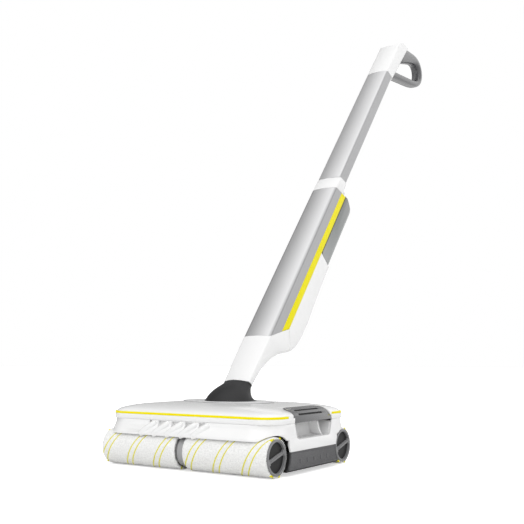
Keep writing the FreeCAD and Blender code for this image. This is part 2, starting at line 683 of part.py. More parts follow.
def fresh_water_tank():
    """Smoked tank, hollow; its top falls away to the back in a round."""
    front = TANK_FRONT_B

    def skin(inset):
        column = slab(rounded_outline((inset - BODY_HALF_X, BODY_HALF_X - inset),
                                      (front + inset, TANK_BACK_B - inset),
                                      (1.2, 15.0 - inset), TANK_S + inset), 200)
        top = side_prism([(front - 5, 700), (front - 5, 590.5 - inset), (38, 586.5 - inset),
                          (54 - inset, 578 - inset), (64 - inset, 564), (66.5 - inset, 540),
                          (90, 540), (90, 700)], (-40, 40))
        return column.cut(top)
    tank = skin(0.0).cut(skin(1.8))
    pocket = block((-12, 12), (58.5, TANK_BACK_B - 0.5), (517.8, 534.2))
    tank = tank.fuse(pocket).cut(block((-10.4, 10.4), (60, 80), (519.6, 532.4)))
    return tank.cut(Part.makeCylinder(FILL_R, 10, Vector(0, front - 2, FILL_S), Vector(0, 1, 0)))


def tank_cap():
    """The filling plug in the front wall of the fresh water tank."""
    return Part.makeCylinder(FILL_R - 0.1, 3.6, Vector(0, TANK_FRONT_B - 0.2, FILL_S), Vector(0, 1, 0))


def tank_latch():
    return rounded(block((-10, 10), (TANK_BACK_B - 1.6, TANK_BACK_B + 2.0), (520, 532)), 1.5,
                   lambda edge: is_along(edge, Vector(0, 1, 0)))


def tube_section(s, inset, half_x=TUBE_HALF_X, back=13.0):
    """D-section of the upper tube: crowned front, flat sides, elliptical back."""
    x = half_x - inset
    ridge = FRONT_B + 2.4 + inset
    side = 2.0
    front = Part.Arc(Vector(-x + 1.0, ridge - 0.8, s), Vector(0, FRONT_B + inset, s),
                     Vector(x - 1.0, ridge - 0.8, s)).toShape()
    depth = back - inset - side
    middle = Vector(x * math.cos(math.radians(45)), side + depth * math.sin(math.radians(45)), s)
    half = Part.BSplineCurve()
    half.interpolate([Vector(x, side, s), middle, Vector(0, back - inset, s),
                      Vector(-middle.x, middle.y, s), Vector(-x, side, s)],
                     InitialTangent=Vector(0, 1, 0), FinalTangent=Vector(0, -1, 0))
    edges = [front,
             Part.LineSegment(Vector(x - 1.0, ridge - 0.8, s), Vector(x, ridge + 0.6, s)).toShape(),
             Part.LineSegment(Vector(x, ridge + 0.6, s), Vector(x, side, s)).toShape(),
             half.toShape(),
             Part.LineSegment(Vector(-x, side, s), Vector(-x, ridge + 0.6, s)).toShape(),
             Part.LineSegment(Vector(-x, ridge + 0.6, s), Vector(-x + 1.0, ridge - 0.8, s)).toShape()]
    return Part.Wire(edges)


def collar():
    outer = loft([tube_section(560, 0.0, BODY_HALF_X, 18.0), tube_section(600, 0.0, BODY_HALF_X - 0.8, 16.0),
                  tube_section(640, 0.0, TUBE_HALF_X + 0.8, 13.8)], True)
    ring = outer.common(above(BODY_TOP_S + 0.3, SLANT)).cut(above(COLLAR_S - 0.2, SLANT))
    ring = ring.cut(block((-24.6, 24.6), (-18.2, 20.6), (500, COLLAR_S - 5.8)))
    return ring.cut(slab(tube_section(COLLAR_S - 5.8, 2.2), 60))


def upper_tube():
    outer = slab(tube_section(COLLAR_S - 5.6, 0.0), TUBE_TOP_S + 60 - COLLAR_S)
    inner = slab(tube_section(COLLAR_S - 10, 1.5), TUBE_TOP_S + 100 - COLLAR_S)
    shell = outer.cut(inner)
    visible = shell.common(above(COLLAR_S, SLANT)).cut(above(TUBE_TOP_S, SLANT))
    spigot = slab(tube_section(COLLAR_S - 5.6, 2.3), 30).cut(slab(tube_section(COLLAR_S - 10, 3.8), 60))
    upper = slab(tube_section(TUBE_TOP_S - 14, 2.3), 40).cut(slab(tube_section(TUBE_TOP_S - 20, 3.8), 60))
    link_low = slab(tube_section(COLLAR_S + 20, 1.4), 4).cut(slab(tube_section(COLLAR_S + 10, 3.8), 30))
    link_high = slab(tube_section(TUBE_TOP_S - 14, 1.4), 4).cut(slab(tube_section(TUBE_TOP_S - 20, 3.8), 30))
    return fused([visible, spigot, upper, link_low, link_high])


ROOF_FRONT = (-26.0, CAP_TOP_S + 1)      # (b, s) at which the cap's roof starts
ROOF_RIDGE = (-4.0, 1161.0)
BUTTON_ALONG = (18.0, 34.0)               # the power button, up the first slope of the roof
BUTTON_HALF_X = 6.0


def on_roof(along, out):
    """A point (b, s) so far up the roof's first slope and so far out of it."""
    rise = math.dist(ROOF_FRONT, ROOF_RIDGE)
    b = (ROOF_RIDGE[0] - ROOF_FRONT[0]) / rise
    s = (ROOF_RIDGE[1] - ROOF_FRONT[1]) / rise
    return ROOF_FRONT[0] + along * b - out * s, ROOF_FRONT[1] + along * s + out * b


def roof_block(low, high, half_x, depth, height):
    corners = [on_roof(low, -depth), on_roof(high, -depth), on_roof(high, height), on_roof(low, height)]
    return side_prism(corners, (-half_x, half_x))


def cap_outside():
    return loft([tube_section(TUBE_TOP_S - 20, 0.0, TUBE_HALF_X + 0.4, 14.0),
                 tube_section(TUBE_TOP_S + 40, 0.0, TUBE_HALF_X + 0.2, 18.0),
                 tube_section(TUBE_TOP_S + 180, 0.0, TUBE_HALF_X, 28.0)], True)


def handle_cap():
    """White cap at the top: a hollow head whose roof rises to the back."""
    outer = cap_outside()
    roof = side_prism([(-60, CAP_TOP_S - 50), ROOF_FRONT, ROOF_RIDGE, (18, 1176), (40, 1180),
                       (80, 1180), (80, 1400), (-60, 1400)], (-60, 60))
    inner = loft([tube_section(TUBE_TOP_S - 30, 2.1), tube_section(TUBE_TOP_S + 40, 2.1, TUBE_HALF_X, 17.0),
                  tube_section(TUBE_TOP_S + 180, 2.1, TUBE_HALF_X, 27.0)], True)
    inner = inner.cut(roof.translated(Vector(0, 0, -2.4)))
    cap = outer.cut(roof).cut(inner).common(above(TUBE_TOP_S + 0.3, SLANT))
    low, high = BUTTON_ALONG
    return cap.cut(roof_block(low - 0.4, high + 0.4, BUTTON_HALF_X + 0.4, 5.0, 5.0))


def power_button():
    """Thumb button on the roof; it presses straight into the slope."""
    return rounded(roof_block(*BUTTON_ALONG, BUTTON_HALF_X, 3.4, 0.6), 1.0, lambda edge: True)


GRIP_HALF_X = 13.0
GRIP_OUTER = ((20.5, 1180), (40, 1199), (98, 1259), (131, 1256), (151, 1235), (149, 1199), (118, 1158),
              (20.0, 1052))
GRIP_INNER = ((18.0, 1166), (92, 1238), (116, 1239), (134, 1224), (134, 1206), (110, 1172), (18.0, 1070))


def grip_loop():
    """D grip behind the cap: a rounded band, thicker at the top, round a finger opening."""
    outer = side_prism(GRIP_OUTER, (-GRIP_HALF_X, GRIP_HALF_X))
    inner = side_prism(GRIP_INNER, (-30, 30))
    outer = rounded(outer, 12.0, lambda edge: is_along(edge, Vector(1, 0, 0)) and edge.CenterOfMass.y > 90)
    inner = rounded(inner, 9.0, lambda edge: is_along(edge, Vector(1, 0, 0)) and edge.CenterOfMass.y > 80)
    loop = outer.cut(inner)
    loop = rounded(loop, 4.0, lambda edge: abs(abs(edge.CenterOfMass.x) - GRIP_HALF_X) < 0.01
                   and edge.CenterOfMass.y > 26)
    return loop.cut(cap_outside())


def battery_pack():
    case = rounded(block((-21.5, 21.5), (-15.6, 16.8), (392, 560)), 3.0,
                   lambda edge: is_along(edge, Vector(0, 0, 1)))
    return case.cut(block((-19.9, 19.9), (-14.0, 15.2), (394, 558)))


def control_board():
    board = block((-20, 20), (-2.0, -0.4), (296, 380))
    chips = [block((-14, -4), (-0.4, 2.6), (310, 322)), block((4, 16), (-0.4, 6.0), (340, 356)),
             block((-12, 8), (-0.4, 1.6), (362, 372))]
    return fused([board] + chips)


def water_pump():
    body = Part.makeCylinder(13.0, 46.0, Vector(0, 1.0, 226))
    head = block((-12, 12), (-11, 13), (272, 288))
    port = Part.makeCylinder(3.0, 12.0, Vector(0, 1.0, 214))
    return fused([body, head, port])


def charge_socket():
    """A sleeve in the back cover for the charger's round plug."""
    sleeve = Part.makeCylinder(SOCKET_R, 13.0, Vector(0, 54.0, SOCKET_S), Vector(0, 1, 0))
    return sleeve.cut(Part.makeCylinder(2.8, 14.0, Vector(0, 57.0, SOCKET_S), Vector(0, 1, 0)))


def handle_screws():
    screws = []
    for x in (-17, 17):
        for s in (232, 380):
            shank = Part.makeCylinder(1.5, 8.0, Vector(x, 22.0, s), Vector(0, 1, 0))
            head = Part.makeCylinder(2.8, 2.0, Vector(x, 30.0, s), Vector(0, 1, 0))
            screws.append(shank.fuse(head))
    return Part.makeCompound(screws)


# ---- Writing the pieces ----------------------------------------------------------------------------
recess = hand_recess()
save("head_skirt", fused([head_skirt(), recess, mirrored(recess)]))
save("head_cover", head_cover())
save("front_trim", trim_half(True))
save("rear_trim", trim_half(False))
save_both_sides("side_band", side_band())
save_both_sides("grip_pad", grip_pad())
save("latch_springs", latch_springs())
save("head_chassis", head_chassis())

case_half = gearbox_half()
save("gearbox_lid", case_half)
save("gearbox_case", mirrored(case_half))
save("drive_belts", drive_belts())
save("drive_motor", drive_motor())
save("motor_shaft", drive_shaft(-1, (-58, 6.4), 0.0))
save("jackshaft", drive_shaft(1, (-18, 6.4), 0.5))
save("axle_bearings", axle_bearings())

for place, side in (("front", -1), ("rear", 1)):
    axis_y = side * AXLE_Y
    save(place + "_axle", axle(side))
    pieces = (("core", roller_core(axis_y)), ("pile", roller_pile(axis_y)), ("end_cap", roller_cap(axis_y)))
    for name, right in pieces:
        save(place + "_right_" + name, right)
        save(place + "_left_" + name, mirrored(right))
    save(place + "_scraper", scraper(side))

save("dirty_water_tank", dirty_water_tank())
save("dirty_tank_lid", dirty_tank_lid())
save("water_bars", water_bars())
save("feed_hose", feed_hose())
save("head_screws", head_screws())
save("joint_bracket", joint_bracket())
save("joint_yoke", leaned(joint_yoke()))
save("joint_boot", joint_boot())

for name, shape in (("neck_housing", neck_housing()), ("front_shell", front_shell()),
                    ("right_strip", side_strip()), ("left_strip", mirrored(side_strip())),
                    ("back_cover", back_cover()), ("fresh_water_tank", fresh_water_tank()),
                    ("tank_cap", tank_cap()), ("tank_latch", tank_latch()), ("collar", collar()),
                    ("upper_tube", upper_tube()), ("handle_cap", handle_cap()),
                    ("power_button", power_button()), ("grip_loop", grip_loop()),
                    ("battery_pack", battery_pack()), ("control_board", control_board()),
                    ("water_pump", water_pump()), ("charge_socket", charge_socket()),
                    ("handle_screws", handle_screws())):
    save(name, leaned(shape))
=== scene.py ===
import json
import math

import bmesh
import bpy
from mathutils import Euler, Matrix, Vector


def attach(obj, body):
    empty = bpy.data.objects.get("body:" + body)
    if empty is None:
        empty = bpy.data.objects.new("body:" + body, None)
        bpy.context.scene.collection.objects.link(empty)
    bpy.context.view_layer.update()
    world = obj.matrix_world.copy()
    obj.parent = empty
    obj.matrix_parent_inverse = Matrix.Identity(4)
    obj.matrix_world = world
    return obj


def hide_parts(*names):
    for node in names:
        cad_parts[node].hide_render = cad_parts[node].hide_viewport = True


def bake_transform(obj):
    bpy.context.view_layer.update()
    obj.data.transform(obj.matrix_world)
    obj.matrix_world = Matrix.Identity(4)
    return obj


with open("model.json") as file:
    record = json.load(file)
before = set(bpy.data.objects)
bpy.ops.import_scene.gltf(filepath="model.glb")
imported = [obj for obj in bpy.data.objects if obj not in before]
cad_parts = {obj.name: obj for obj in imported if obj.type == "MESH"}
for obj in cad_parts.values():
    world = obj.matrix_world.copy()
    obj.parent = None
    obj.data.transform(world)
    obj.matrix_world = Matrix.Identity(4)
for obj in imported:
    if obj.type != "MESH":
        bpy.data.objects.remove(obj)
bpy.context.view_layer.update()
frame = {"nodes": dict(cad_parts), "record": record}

# Cordless floor scrubber. Lengths in this script are millimetres, turned to metres by mm().
# -Y is the front, +Z up. The handle leans back in the plane x = 0; its pieces are modelled upright
# and then leaned back by lean_back().

HEAD_X = 161.0
HEAD_Y = 119.0
HEAD_CORNER = 36.0
LIP_Y = 129.0
LIP_Z = 52.0
COVER_Z = 75.0
TRIM_LOW, TRIM_HIGH = 82.6, 86.0
TRIM_DEPTH = 2.6
TRIM_END_Y, REAR_TRIM_Y = 75.5, 63.0
AXLE_Y = 103.5
AXLE_Z = 29.5
PILE_R = 29.5
PILE_START, PILE_END = 7.5, 156.6
CAP_START, CAP_END = 148.05, 157.5
CAP_R = 25.9
ARCH_R = 33.0
PAD_Y = 57.0
PAD_X = 132.0
PAD_CORNER = 20.0
SIDE_LOW = 34.5
BAND_LOW = 8.5
LEAN = math.radians(39.76)
AXIS_Z = 73.2


def mm(*values):
    return Vector([value * 0.001 for value in values])


# ---- Modelling by hand, in short calls -------------------------------------------------------------
def deselect():
    """Leaves edit mode and selects nothing."""
    if bpy.context.mode != "OBJECT":
        bpy.ops.object.mode_set(mode="OBJECT")
    bpy.ops.object.select_all(action="DESELECT")


def take(piece):
    deselect()
    piece.select_set(True)
    bpy.context.view_layer.objects.active = piece


def named(name):
    piece = bpy.context.object
    piece.name = name
    piece.data.name = name
    return piece


def place(piece):
    """Puts the piece's place into its mesh and leaves its object at the origin."""
    take(piece)
    bpy.ops.object.transform_apply(location=True, rotation=True, scale=True)
    return piece


def lean_back(piece):
    take(piece)
    piece.rotation_euler = (-LEAN, 0, 0)
    piece.location = mm(0, 0, AXIS_Z)
    return place(piece)


def turn(piece, axis, degrees, centre):
    """Turns a finished piece about an axis through a point."""
    take(piece)
    bpy.context.scene.cursor.location = mm(*centre)
    bpy.ops.object.origin_set(type="ORIGIN_CURSOR")
    piece.rotation_euler["XYZ".index(axis)] = math.radians(degrees)
    return place(piece)


def work_on(piece, kind="VERT"):
    take(piece)
    bpy.ops.object.mode_set(mode="EDIT")
    bpy.ops.mesh.select_mode(type=kind)
    bpy.ops.mesh.select_all(action="DESELECT")


def leave():
    bpy.ops.object.mode_set(mode="OBJECT")


def pick(test):
    """Selects the faces, edges or points of the piece being worked on whose middle passes the test (mm)."""
    mesh = bmesh.from_edit_mesh(bpy.context.object.data)
    kind = "VERT" if "VERT" in mesh.select_mode else "EDGE" if "EDGE" in mesh.select_mode else "FACE"
    if kind == "VERT":
        for point in mesh.verts:
            point.select_set(bool(test(point.co * 1000)))
    elif kind == "EDGE":
        for edge in mesh.edges:
            edge.select_set(bool(test((edge.verts[0].co + edge.verts[1].co) * 500,
                                      (edge.verts[1].co - edge.verts[0].co).normalized())))
    else:
        for face in mesh.faces:
            face.select_set(bool(test(face.calc_center_median() * 1000, face.normal)))
    mesh.select_flush_mode()
    bmesh.update_edit_mesh(bpy.context.object.data)


def pick_all():
    bpy.ops.mesh.select_all(action="SELECT")


def inset(thickness):
    bpy.ops.mesh.inset(thickness=thickness * 0.001)


def bevel_picked(width, segments, kind="EDGES"):
    bpy.ops.mesh.bevel(offset=width * 0.001, segments=segments, affect=kind)


def extrude(x=0.0, y=0.0, z=0.0):
    bpy.ops.mesh.extrude_region_move(TRANSFORM_OT_translate={"value": mm(x, y, z)})


def move(x=0.0, y=0.0, z=0.0):
    bpy.ops.transform.translate(value=mm(x, y, z))


def widen(x=1.0, y=1.0, z=1.0, centre=(0, 0, 0)):
    bpy.ops.transform.resize(value=(x, y, z), center_override=mm(*centre))


def tidy_faces(piece):
    """Merges the piece's doubles and turns its faces outwards."""
    work_on(piece)
    pick_all()
    bpy.ops.mesh.remove_doubles(threshold=0.00001)
    bpy.ops.mesh.normals_make_consistent(inside=False)
    leave()
    return piece


def modify(piece, kind, **settings):
    take(piece)
    modifier = piece.modifiers.new(kind.title(), kind)
    for key, value in settings.items():
        setattr(modifier, key, value)
    bpy.ops.object.modifier_apply(modifier=modifier.name)
    return piece


def ease_edges(piece, width, segments=3, angle=35.0):
    return modify(piece, "BEVEL", width=width * 0.001, segments=segments, limit_method="ANGLE",
                  angle_limit=math.radians(angle), harden_normals=False)


def smooth(piece, angle=35.0):
    take(piece)
    bpy.ops.object.shade_smooth_by_angle(angle=math.radians(angle))
    return piece


def combine(piece, others, operation):
    for other in others:
        modify(piece, "BOOLEAN", object=other, operation=operation, solver="EXACT")
        bpy.data.objects.remove(other)
    return piece


def cut(piece, *cutters):
    return combine(piece, cutters, "DIFFERENCE")


def weld(piece, *others):
    return combine(piece, others, "UNION")


def keep_inside(piece, limit):
    return combine(piece, (limit,), "INTERSECT")


def join(piece, *others):
    take(piece)
    for other in others:
        other.select_set(True)
    bpy.ops.object.join()
    return piece


def mirrored(piece, name, angle):
    """The same piece on the left (-X), with its faces recalculated; angle None keeps its shading."""
    take(piece)
    bpy.ops.object.duplicate()
    other = named(name)
    other.scale.x = -1
    place(other)
    tidy_faces(other)
    return smooth(other, angle) if angle else other


def cube(name, x, y, z):
    deselect()
    middle = [(low + high) / 2 for low, high in (x, y, z)]
    bpy.ops.mesh.primitive_cube_add(size=0.001, location=mm(*middle))
    piece = named(name)
    piece.scale = [high - low for low, high in (x, y, z)]
    return place(piece)


def rod_x(name, x, y, z, radius, vertices=96, fill="NGON"):
    deselect()
    bpy.ops.mesh.primitive_cylinder_add(vertices=vertices, radius=radius * 0.001, end_fill_type=fill,
                                        depth=(x[1] - x[0]) * 0.001, rotation=(0, math.pi / 2, 0),
                                        location=mm((x[0] + x[1]) / 2, y, z))
    return place(named(name))


def rod_z(name, y, z, radius, vertices=96):
    deselect()
    bpy.ops.mesh.primitive_cylinder_add(vertices=vertices, radius=radius * 0.001,
                                        depth=(z[1] - z[0]) * 0.001, location=mm(0, y, (z[0] + z[1]) / 2))
    return place(named(name))


def round_uprights(piece, radius, segments, test=lambda middle: True):
    """Rounds the upright edges of a block."""
    work_on(piece, "EDGE")
    pick(lambda middle, along: abs(along.z) > 0.9 and test(middle))
    bevel_picked(radius, segments)
    leave()
    return piece


def outline(name, corners, fill="NGON"):
    """A flat loop through the corners, filled unless fill is NOTHING."""
    deselect()
    bpy.ops.mesh.primitive_circle_add(vertices=len(corners), radius=0.001, fill_type=fill,
                                      location=(0, 0, 0))
    piece = named(name)
    for point, corner in zip(piece.data.vertices, corners):
        point.co = corner
    return piece


def thicken(plate, **step):
    work_on(plate, "FACE")
    pick_all()
    extrude(**step)
    leave()
    return tidy_faces(plate)


def side_plate(name, corners, x, rounding=0.0, segments=4):
    """A plate from x[0] to x[1] with (y, z) corners, which can be rounded."""
    plate = outline(name, [mm(x[0], y, z) for y, z in corners])
    if rounding:
        work_on(plate)
        pick_all()
        bevel_picked(rounding, segments, "VERTICES")
        leave()
    return thicken(plate, x=x[1] - x[0])


def level_plate(name, corners, z):
    """A plate from z[0] to z[1] with (x, y) corners."""
    return thicken(outline(name, [mm(x, y, z[0]) for x, y in corners]), z=z[1] - z[0])


# ---- Head shells -----------------------------------------------------------------------------------
# (half length, half depth, height) of the rings of the cover's crown, outside and inside
CROWN = ((156.6, 114.6, 88.2), (153.4, 111.4, 90.4), (147.0, 105.4, 92.6), (137.0, 97.0, 94.8),
         (121.0, 84.0, 97.0), (98.0, 68.0, 98.9), (70.0, 49.0, 100.1), (38.0, 27.0, 100.7),
         (14.0, 10.0, 100.8))
COVER_INSIDE = ((155.0, 113.0, 81.0), (132.0, 93.0, 91.0), (100.0, 70.0, 95.6), (60.0, 42.0, 97.4))
COVER_WALL = 2.8
SHAFT_R = 33.0
PLATE_X, PLATE_Y, PLATE_Z = 83.0, 50.0, 101.6
PAD_GAP = 0.8


def upright_outline(name, half_x, half_y, corner, z):
    """A block with rounded corners in plan."""
    return round_uprights(cube(name, (-half_x, half_x), (-half_y, half_y), z), corner, 14)


def pick_top():
    pick(lambda middle, out: out.z > 0.9)


def grow_rings(rings):
    """Raises the selected top face through rings of (half length, half depth, height)."""
    half_x, half_y, height = rings[0]
    for next_x, next_y, next_height in rings[1:]:
        extrude(z=next_height - height)
        widen(next_x / half_x, next_y / half_y)
        half_x, half_y, height = next_x, next_y, next_height


def pad_opening(name, margin, side, low=COVER_Z - 6):
    """What a grip pad takes up in plan: its inner corners are rounded."""
    x = sorted((side * (PAD_X - margin), side * 200.0))
    block = cube(name, x, (-PAD_Y - margin, PAD_Y + margin), (low, 120.0))
    return round_uprights(block, PAD_CORNER + margin, 8, lambda middle: abs(middle.x) < 150)


def head_cover():
    cover = upright_outline("cover", HEAD_X, HEAD_Y, HEAD_CORNER, (COVER_Z, TRIM_LOW))
    work_on(cover, "FACE")
    pick_top()
    inset(TRIM_DEPTH)
    extrude(z=TRIM_HIGH - TRIM_LOW)
    grow_rings(((HEAD_X - TRIM_DEPTH, HEAD_Y - TRIM_DEPTH, TRIM_HIGH),) + CROWN)
    leave()
    inside = upright_outline("inside", HEAD_X - COVER_WALL, HEAD_Y - COVER_WALL, 33.4,
                             (COVER_Z - 1, COVER_INSIDE[0][2]))
    work_on(inside, "FACE")
    pick_top()
    inset(HEAD_X - COVER_WALL - COVER_INSIDE[0][0])
    grow_rings(COVER_INSIDE)
    leave()
    cut(cover, inside, rod_z("shaft", 0, (70, 110), SHAFT_R), pad_opening("right_gap", PAD_GAP, 1),
        pad_opening("left_gap", PAD_GAP, -1))
    ease_edges(cover, 0.55, 2, 40)
    return smooth(cover, 40)


def oval_plate(name, half_x, half_y, z):
    plate = rod_z(name, 0, z, 1.0, 128)
    work_on(plate)
    pick_all()
    widen(half_x, half_y)
    leave()
    return plate


def joint_plate():
    """The oval plate round the handle joint, a little proud of the cover, with a groove near its edge."""
    plate = oval_plate("joint_plate", PLATE_X, PLATE_Y, (95.0, PLATE_Z))
    work_on(plate, "FACE")
    pick_top()
    inset(1.2)
    inset(0.8)
    move(z=-0.5)
    inset(0.8)
    move(z=0.5)
    leave()
    cut(plate, rod_z("shaft", 0, (80, 110), SHAFT_R))
    ease_edges(plate, 0.35, 2, 30)
    return smooth(plate, 40)


def painted_plate_shadow():
    """Painted shadow: a thin grey ring round the joint plate, where the plate's proud edge throws its shade
    on the cover.
    """
    ring_shadow = oval_plate("plate_edge_shadow", PLATE_X + 1.0, PLATE_Y + 1.0, (94.0, PLATE_Z - 0.55))
    return smooth(cut(ring_shadow, rod_z("shaft", 0, (80, 110), SHAFT_R + 3.0)))


def trim_line(front):
    """The yellow line in the cover's groove, from one end of a grip pad round to the other."""
    ring, hole = [upright_outline("trim", HEAD_X - step, HEAD_Y - step, HEAD_CORNER - step, z)
                  for step, z in ((0.15, (TRIM_LOW + 0.05, TRIM_HIGH - 0.05)), (2.5, (80, 90)))]
    away = (-TRIM_END_Y, 140) if front else (-140, REAR_TRIM_Y)
    cut(ring, hole, cube("away", (-200, 200), away, (80, 90)))
    ease_edges(ring, 0.5, 3)
    ring.name = "front_trim_line" if front else "rear_trim_line"
    return smooth(ring)


# (half depth, height) of the skirt's front and rear, from its lip up to the cover
SKIRT_RINGS = ((LIP_Y, LIP_Z + 2.0), (127.6, 57.0), (124.4, 62.0), (121.2, 66.0), (119.4, 69.5),
               (119.0, 74.8))
WINDOW = ((-51, 51), (51, 51), (63.9, 90), (-63.9, 90))
RIB_TOPS = (-55.0, -28.5, -2.5, 24.0, 48.0)
RIB_RECESSES = ((-67.0, -61.5), (-49.0, -34.5), (-22.5, -8.5), (3.5, 18.0), (30.0, 42.0))


def water_rib(x):
    """A soft rib that runs down the front and sweeps to the left, with a rounded foot."""
    deselect()
    top, foot = mm(x, -117.4, 71.0), mm(x - 26.0, -125.4, 52.6)
    along = foot - top
    bpy.ops.mesh.primitive_cylinder_add(vertices=24, radius=0.006, depth=along.length + 0.002,
                                        location=(top + foot) / 2,
                                        rotation=along.to_track_quat("Z", "Y").to_euler())
    rib = place(named("rib"))
    work_on(rib, "FACE")
    pick(lambda middle, out: abs(out.dot(along.normalized())) > 0.9)
    inset(2.6)
    leave()
    return modify(rib, "SUBSURF", levels=1, render_levels=1)


def head_skirt():
    """The white frame under the cover: a flared lip, two side windows, front ribs and four roller arches."""
    skirt = upright_outline("skirt", HEAD_X, LIP_Y, 44.0, (LIP_Z, LIP_Z + 2.0))
    work_on(skirt, "FACE")
    pick_top()
    grow_rings([(1.0, half_y, height) for half_y, height in SKIRT_RINGS])
    leave()
    weld(skirt, cube("walls", (-HEAD_X, HEAD_X), (-75, 75), (SIDE_LOW, 60)))
    cut(skirt, upright_outline("inside", 158.4, 112.0, 33.0, (SIDE_LOW - 2, 90)))
    for low, high in RIB_RECESSES:
        corners = ((-140, 62.5), (-121.5, 62.5), (-114.6, 65.5), (-114.6, 74.0), (-140, 74.0))
        cut(skirt, side_plate("recess", corners, (low, high)))
    weld(skirt, *[water_rib(x) for x in RIB_TOPS])
    for x in ((150, 175), (-175, -150)):
        cut(skirt, side_plate("window", WINDOW, x, 5.0))
    for y in (-AXLE_Y, AXLE_Y):
        cut(skirt, rod_x("roller_room", (-200, 200), y, AXLE_Z, PILE_R + 1.1, 128))
        for x in ((144, 200), (-200, -144)):
            cut(skirt, rod_x("arch", x, y * 0.989, AXLE_Z - 0.8, ARCH_R - 1.6, 96))
    ease_edges(skirt, 0.7, 2, 38)
    return smooth(skirt, 38)


POCKET = ((-52.5, 49.4), (52.5, 49.4), (59.0, 73.0), (-59.0, 73.0))
POCKET_ROOM = ((-50.6, 51.2), (50.6, 51.2), (58.6, 90.0), (-58.6, 90.0))
POCKET_SCOOP = ((133.6, -51.6), (157.6, -51.6), (153.8, -45), (148.4, -36), (143.6, -26), (139.6, -14),
                (136.4, -1), (134.0, 12))
HOOK_Y, HOOK_Z, HOOK_R = 62.0, 79.0, 36.0


def hand_pocket():
    """The white pocket behind the right window: a curved back, a floor and a hooked rib across it."""
    pocket = side_plate("pocket", POCKET, (132.2, 158.2), 6.0, 5)
    cut(pocket, side_plate("room", POCKET_ROOM, (134.4, 170), 5.0, 5))
    weld(pocket, level_plate("scoop", POCKET_SCOOP, (50.4, 72.6)))
    hook = rod_x("hook", (134.0, 152.0), HOOK_Y, HOOK_Z, HOOK_R)
    cut(hook, rod_x("hook_inside", (130, 160), HOOK_Y, HOOK_Z, HOOK_R - 2.8))
    keep_inside(hook, side_plate("keep", ((22, 51.0), (50.0, 51.0), (50.0, 73.4), (22, 73.4)), (130, 160)))
    weld(pocket, hook)
    ease_edges(pocket, 0.6, 2, 40)
    return smooth(pocket, 40)


# (x, z) of the pad's section, from its inner edge down to the window, and (x, z, slope) of its slots
PAD_TOP = ((PAD_X, 96.2), (139.5, 95.3), (145.5, 93.5), (150.6, 90.8), (154.8, 87.2), (158.0, 83.2),
           (160.4, 79.2), (161.7, 75.8))
PAD_SLOTS = ((148.0, 92.3, 28), (155.3, 86.9, 43))
SLOT_Y = (-38, 36)
SLOT_X = 1.7


def slot_block(name, half_x, z, x, height, slope, corner=0.0):
    """A block along a slot, laid on the pad's slope."""
    block = cube(name, (-half_x, half_x), SLOT_Y, z)
    if corner:
        round_uprights(block, corner, 3)
    block.rotation_euler[1] = math.radians(slope)
    block.location = mm(x, 0, height)
    return place(block)


def grip_pad():
    """The right grip pad: a curved plate over the edge of the cover, with two long slots."""
    deselect()
    bpy.ops.mesh.primitive_plane_add(size=0.001, location=mm(PAD_X, 0, PAD_TOP[0][1]),
                                     rotation=(0, -math.pi / 2, 0))
    pad = named("pad")
    pad.scale = (1.0, 2 * PAD_Y, 1.0)
    place(pad)
    work_on(pad)
    pick(lambda point: point.z < PAD_TOP[0][1])
    bpy.ops.mesh.delete(type="VERT")
    pick_all()
    move(z=-0.5)
    for (x, z), (next_x, next_z) in zip(PAD_TOP, PAD_TOP[1:]):
        extrude(x=next_x - x, z=next_z - z)
    pick_all()
    bpy.ops.mesh.normals_make_consistent(inside=False)
    bpy.ops.mesh.subdivide(number_cuts=1, smoothness=0.0)
    leave()
    work_on(pad, "FACE")
    pick_all()
    mesh = bmesh.from_edit_mesh(pad.data)
    if sum(face.normal.z for face in mesh.faces) < 0:
        bpy.ops.mesh.flip_normals()
    leave()
    modify(pad, "SOLIDIFY", thickness=0.0028, offset=-1.0, use_even_offset=True)
    keep_inside(pad, pad_opening("keep", 0.0, 1, 60.0))
    for spot in PAD_SLOTS:
        cut(pad, slot_block("slot", SLOT_X, (-1.7, 6), *spot, corner=1.4))
    ease_edges(pad, 0.7, 3, 50)
    return smooth(pad, 40)


def slot_beds():
    """The black beds in the two slots of the right pad."""
    beds = [ease_edges(slot_block("slot_bed", SLOT_X - 0.02, (-2.6, -1.5), *spot), 0.2, 2)
            for spot in PAD_SLOTS]
    return smooth(join(*beds))


def side_guard():
    """The dark guard strip between the rollers, with a row of small raised bars."""
    guard = cube("guard", (158.3, 161.2), (-82, 82), (BAND_LOW, SIDE_LOW - 0.4))
    for y in (-AXLE_Y, AXLE_Y):
        cut(guard, rod_x("arch", (150, 170), y, AXLE_Z, ARCH_R - 0.2, 96))
    work_on(guard, "FACE")
    pick(lambda middle, out: out.x > 0.9)
    inset(1.6)
    extrude(x=-0.5)
    leave()
    ease_edges(guard, 0.3, 2, 40)
    bars = []
    for y in range(-42, 43, 21):
        raised = cube("raised", (160.4, 161.1), (y - 2.6, y + 2.6), (16.0, 22.5))
        bars.append(ease_edges(raised, 0.3, 2))
    join(guard, *bars)
    return smooth(guard, 40)


# ---- Rollers ---------------------------------------------------------------------------------------
def nap(name, size):
    texture = bpy.data.textures.new(name, "CLOUDS")
    texture.noise_scale = size * 0.001
    texture.noise_depth = 3
    return texture


FINE_NAP = nap("fine_nap", 1.3)
SOFT_NAP = nap("soft_nap", 9.0)
PILE_CUTS = 120
# (distance from the end, radius) where the pile rounds off
PILE_ENDS = ((0.0, 28.5), (1.3, 29.0), (2.5, 29.3), (3.8, 29.45))
BAR_TURN = 16.0
BAR_HALF, STEP_HALF, RIB_HALF = 2.7, 3.5, 0.9
YARN_ENDS = (-27.0, 20.0, 166.0, 211.0)


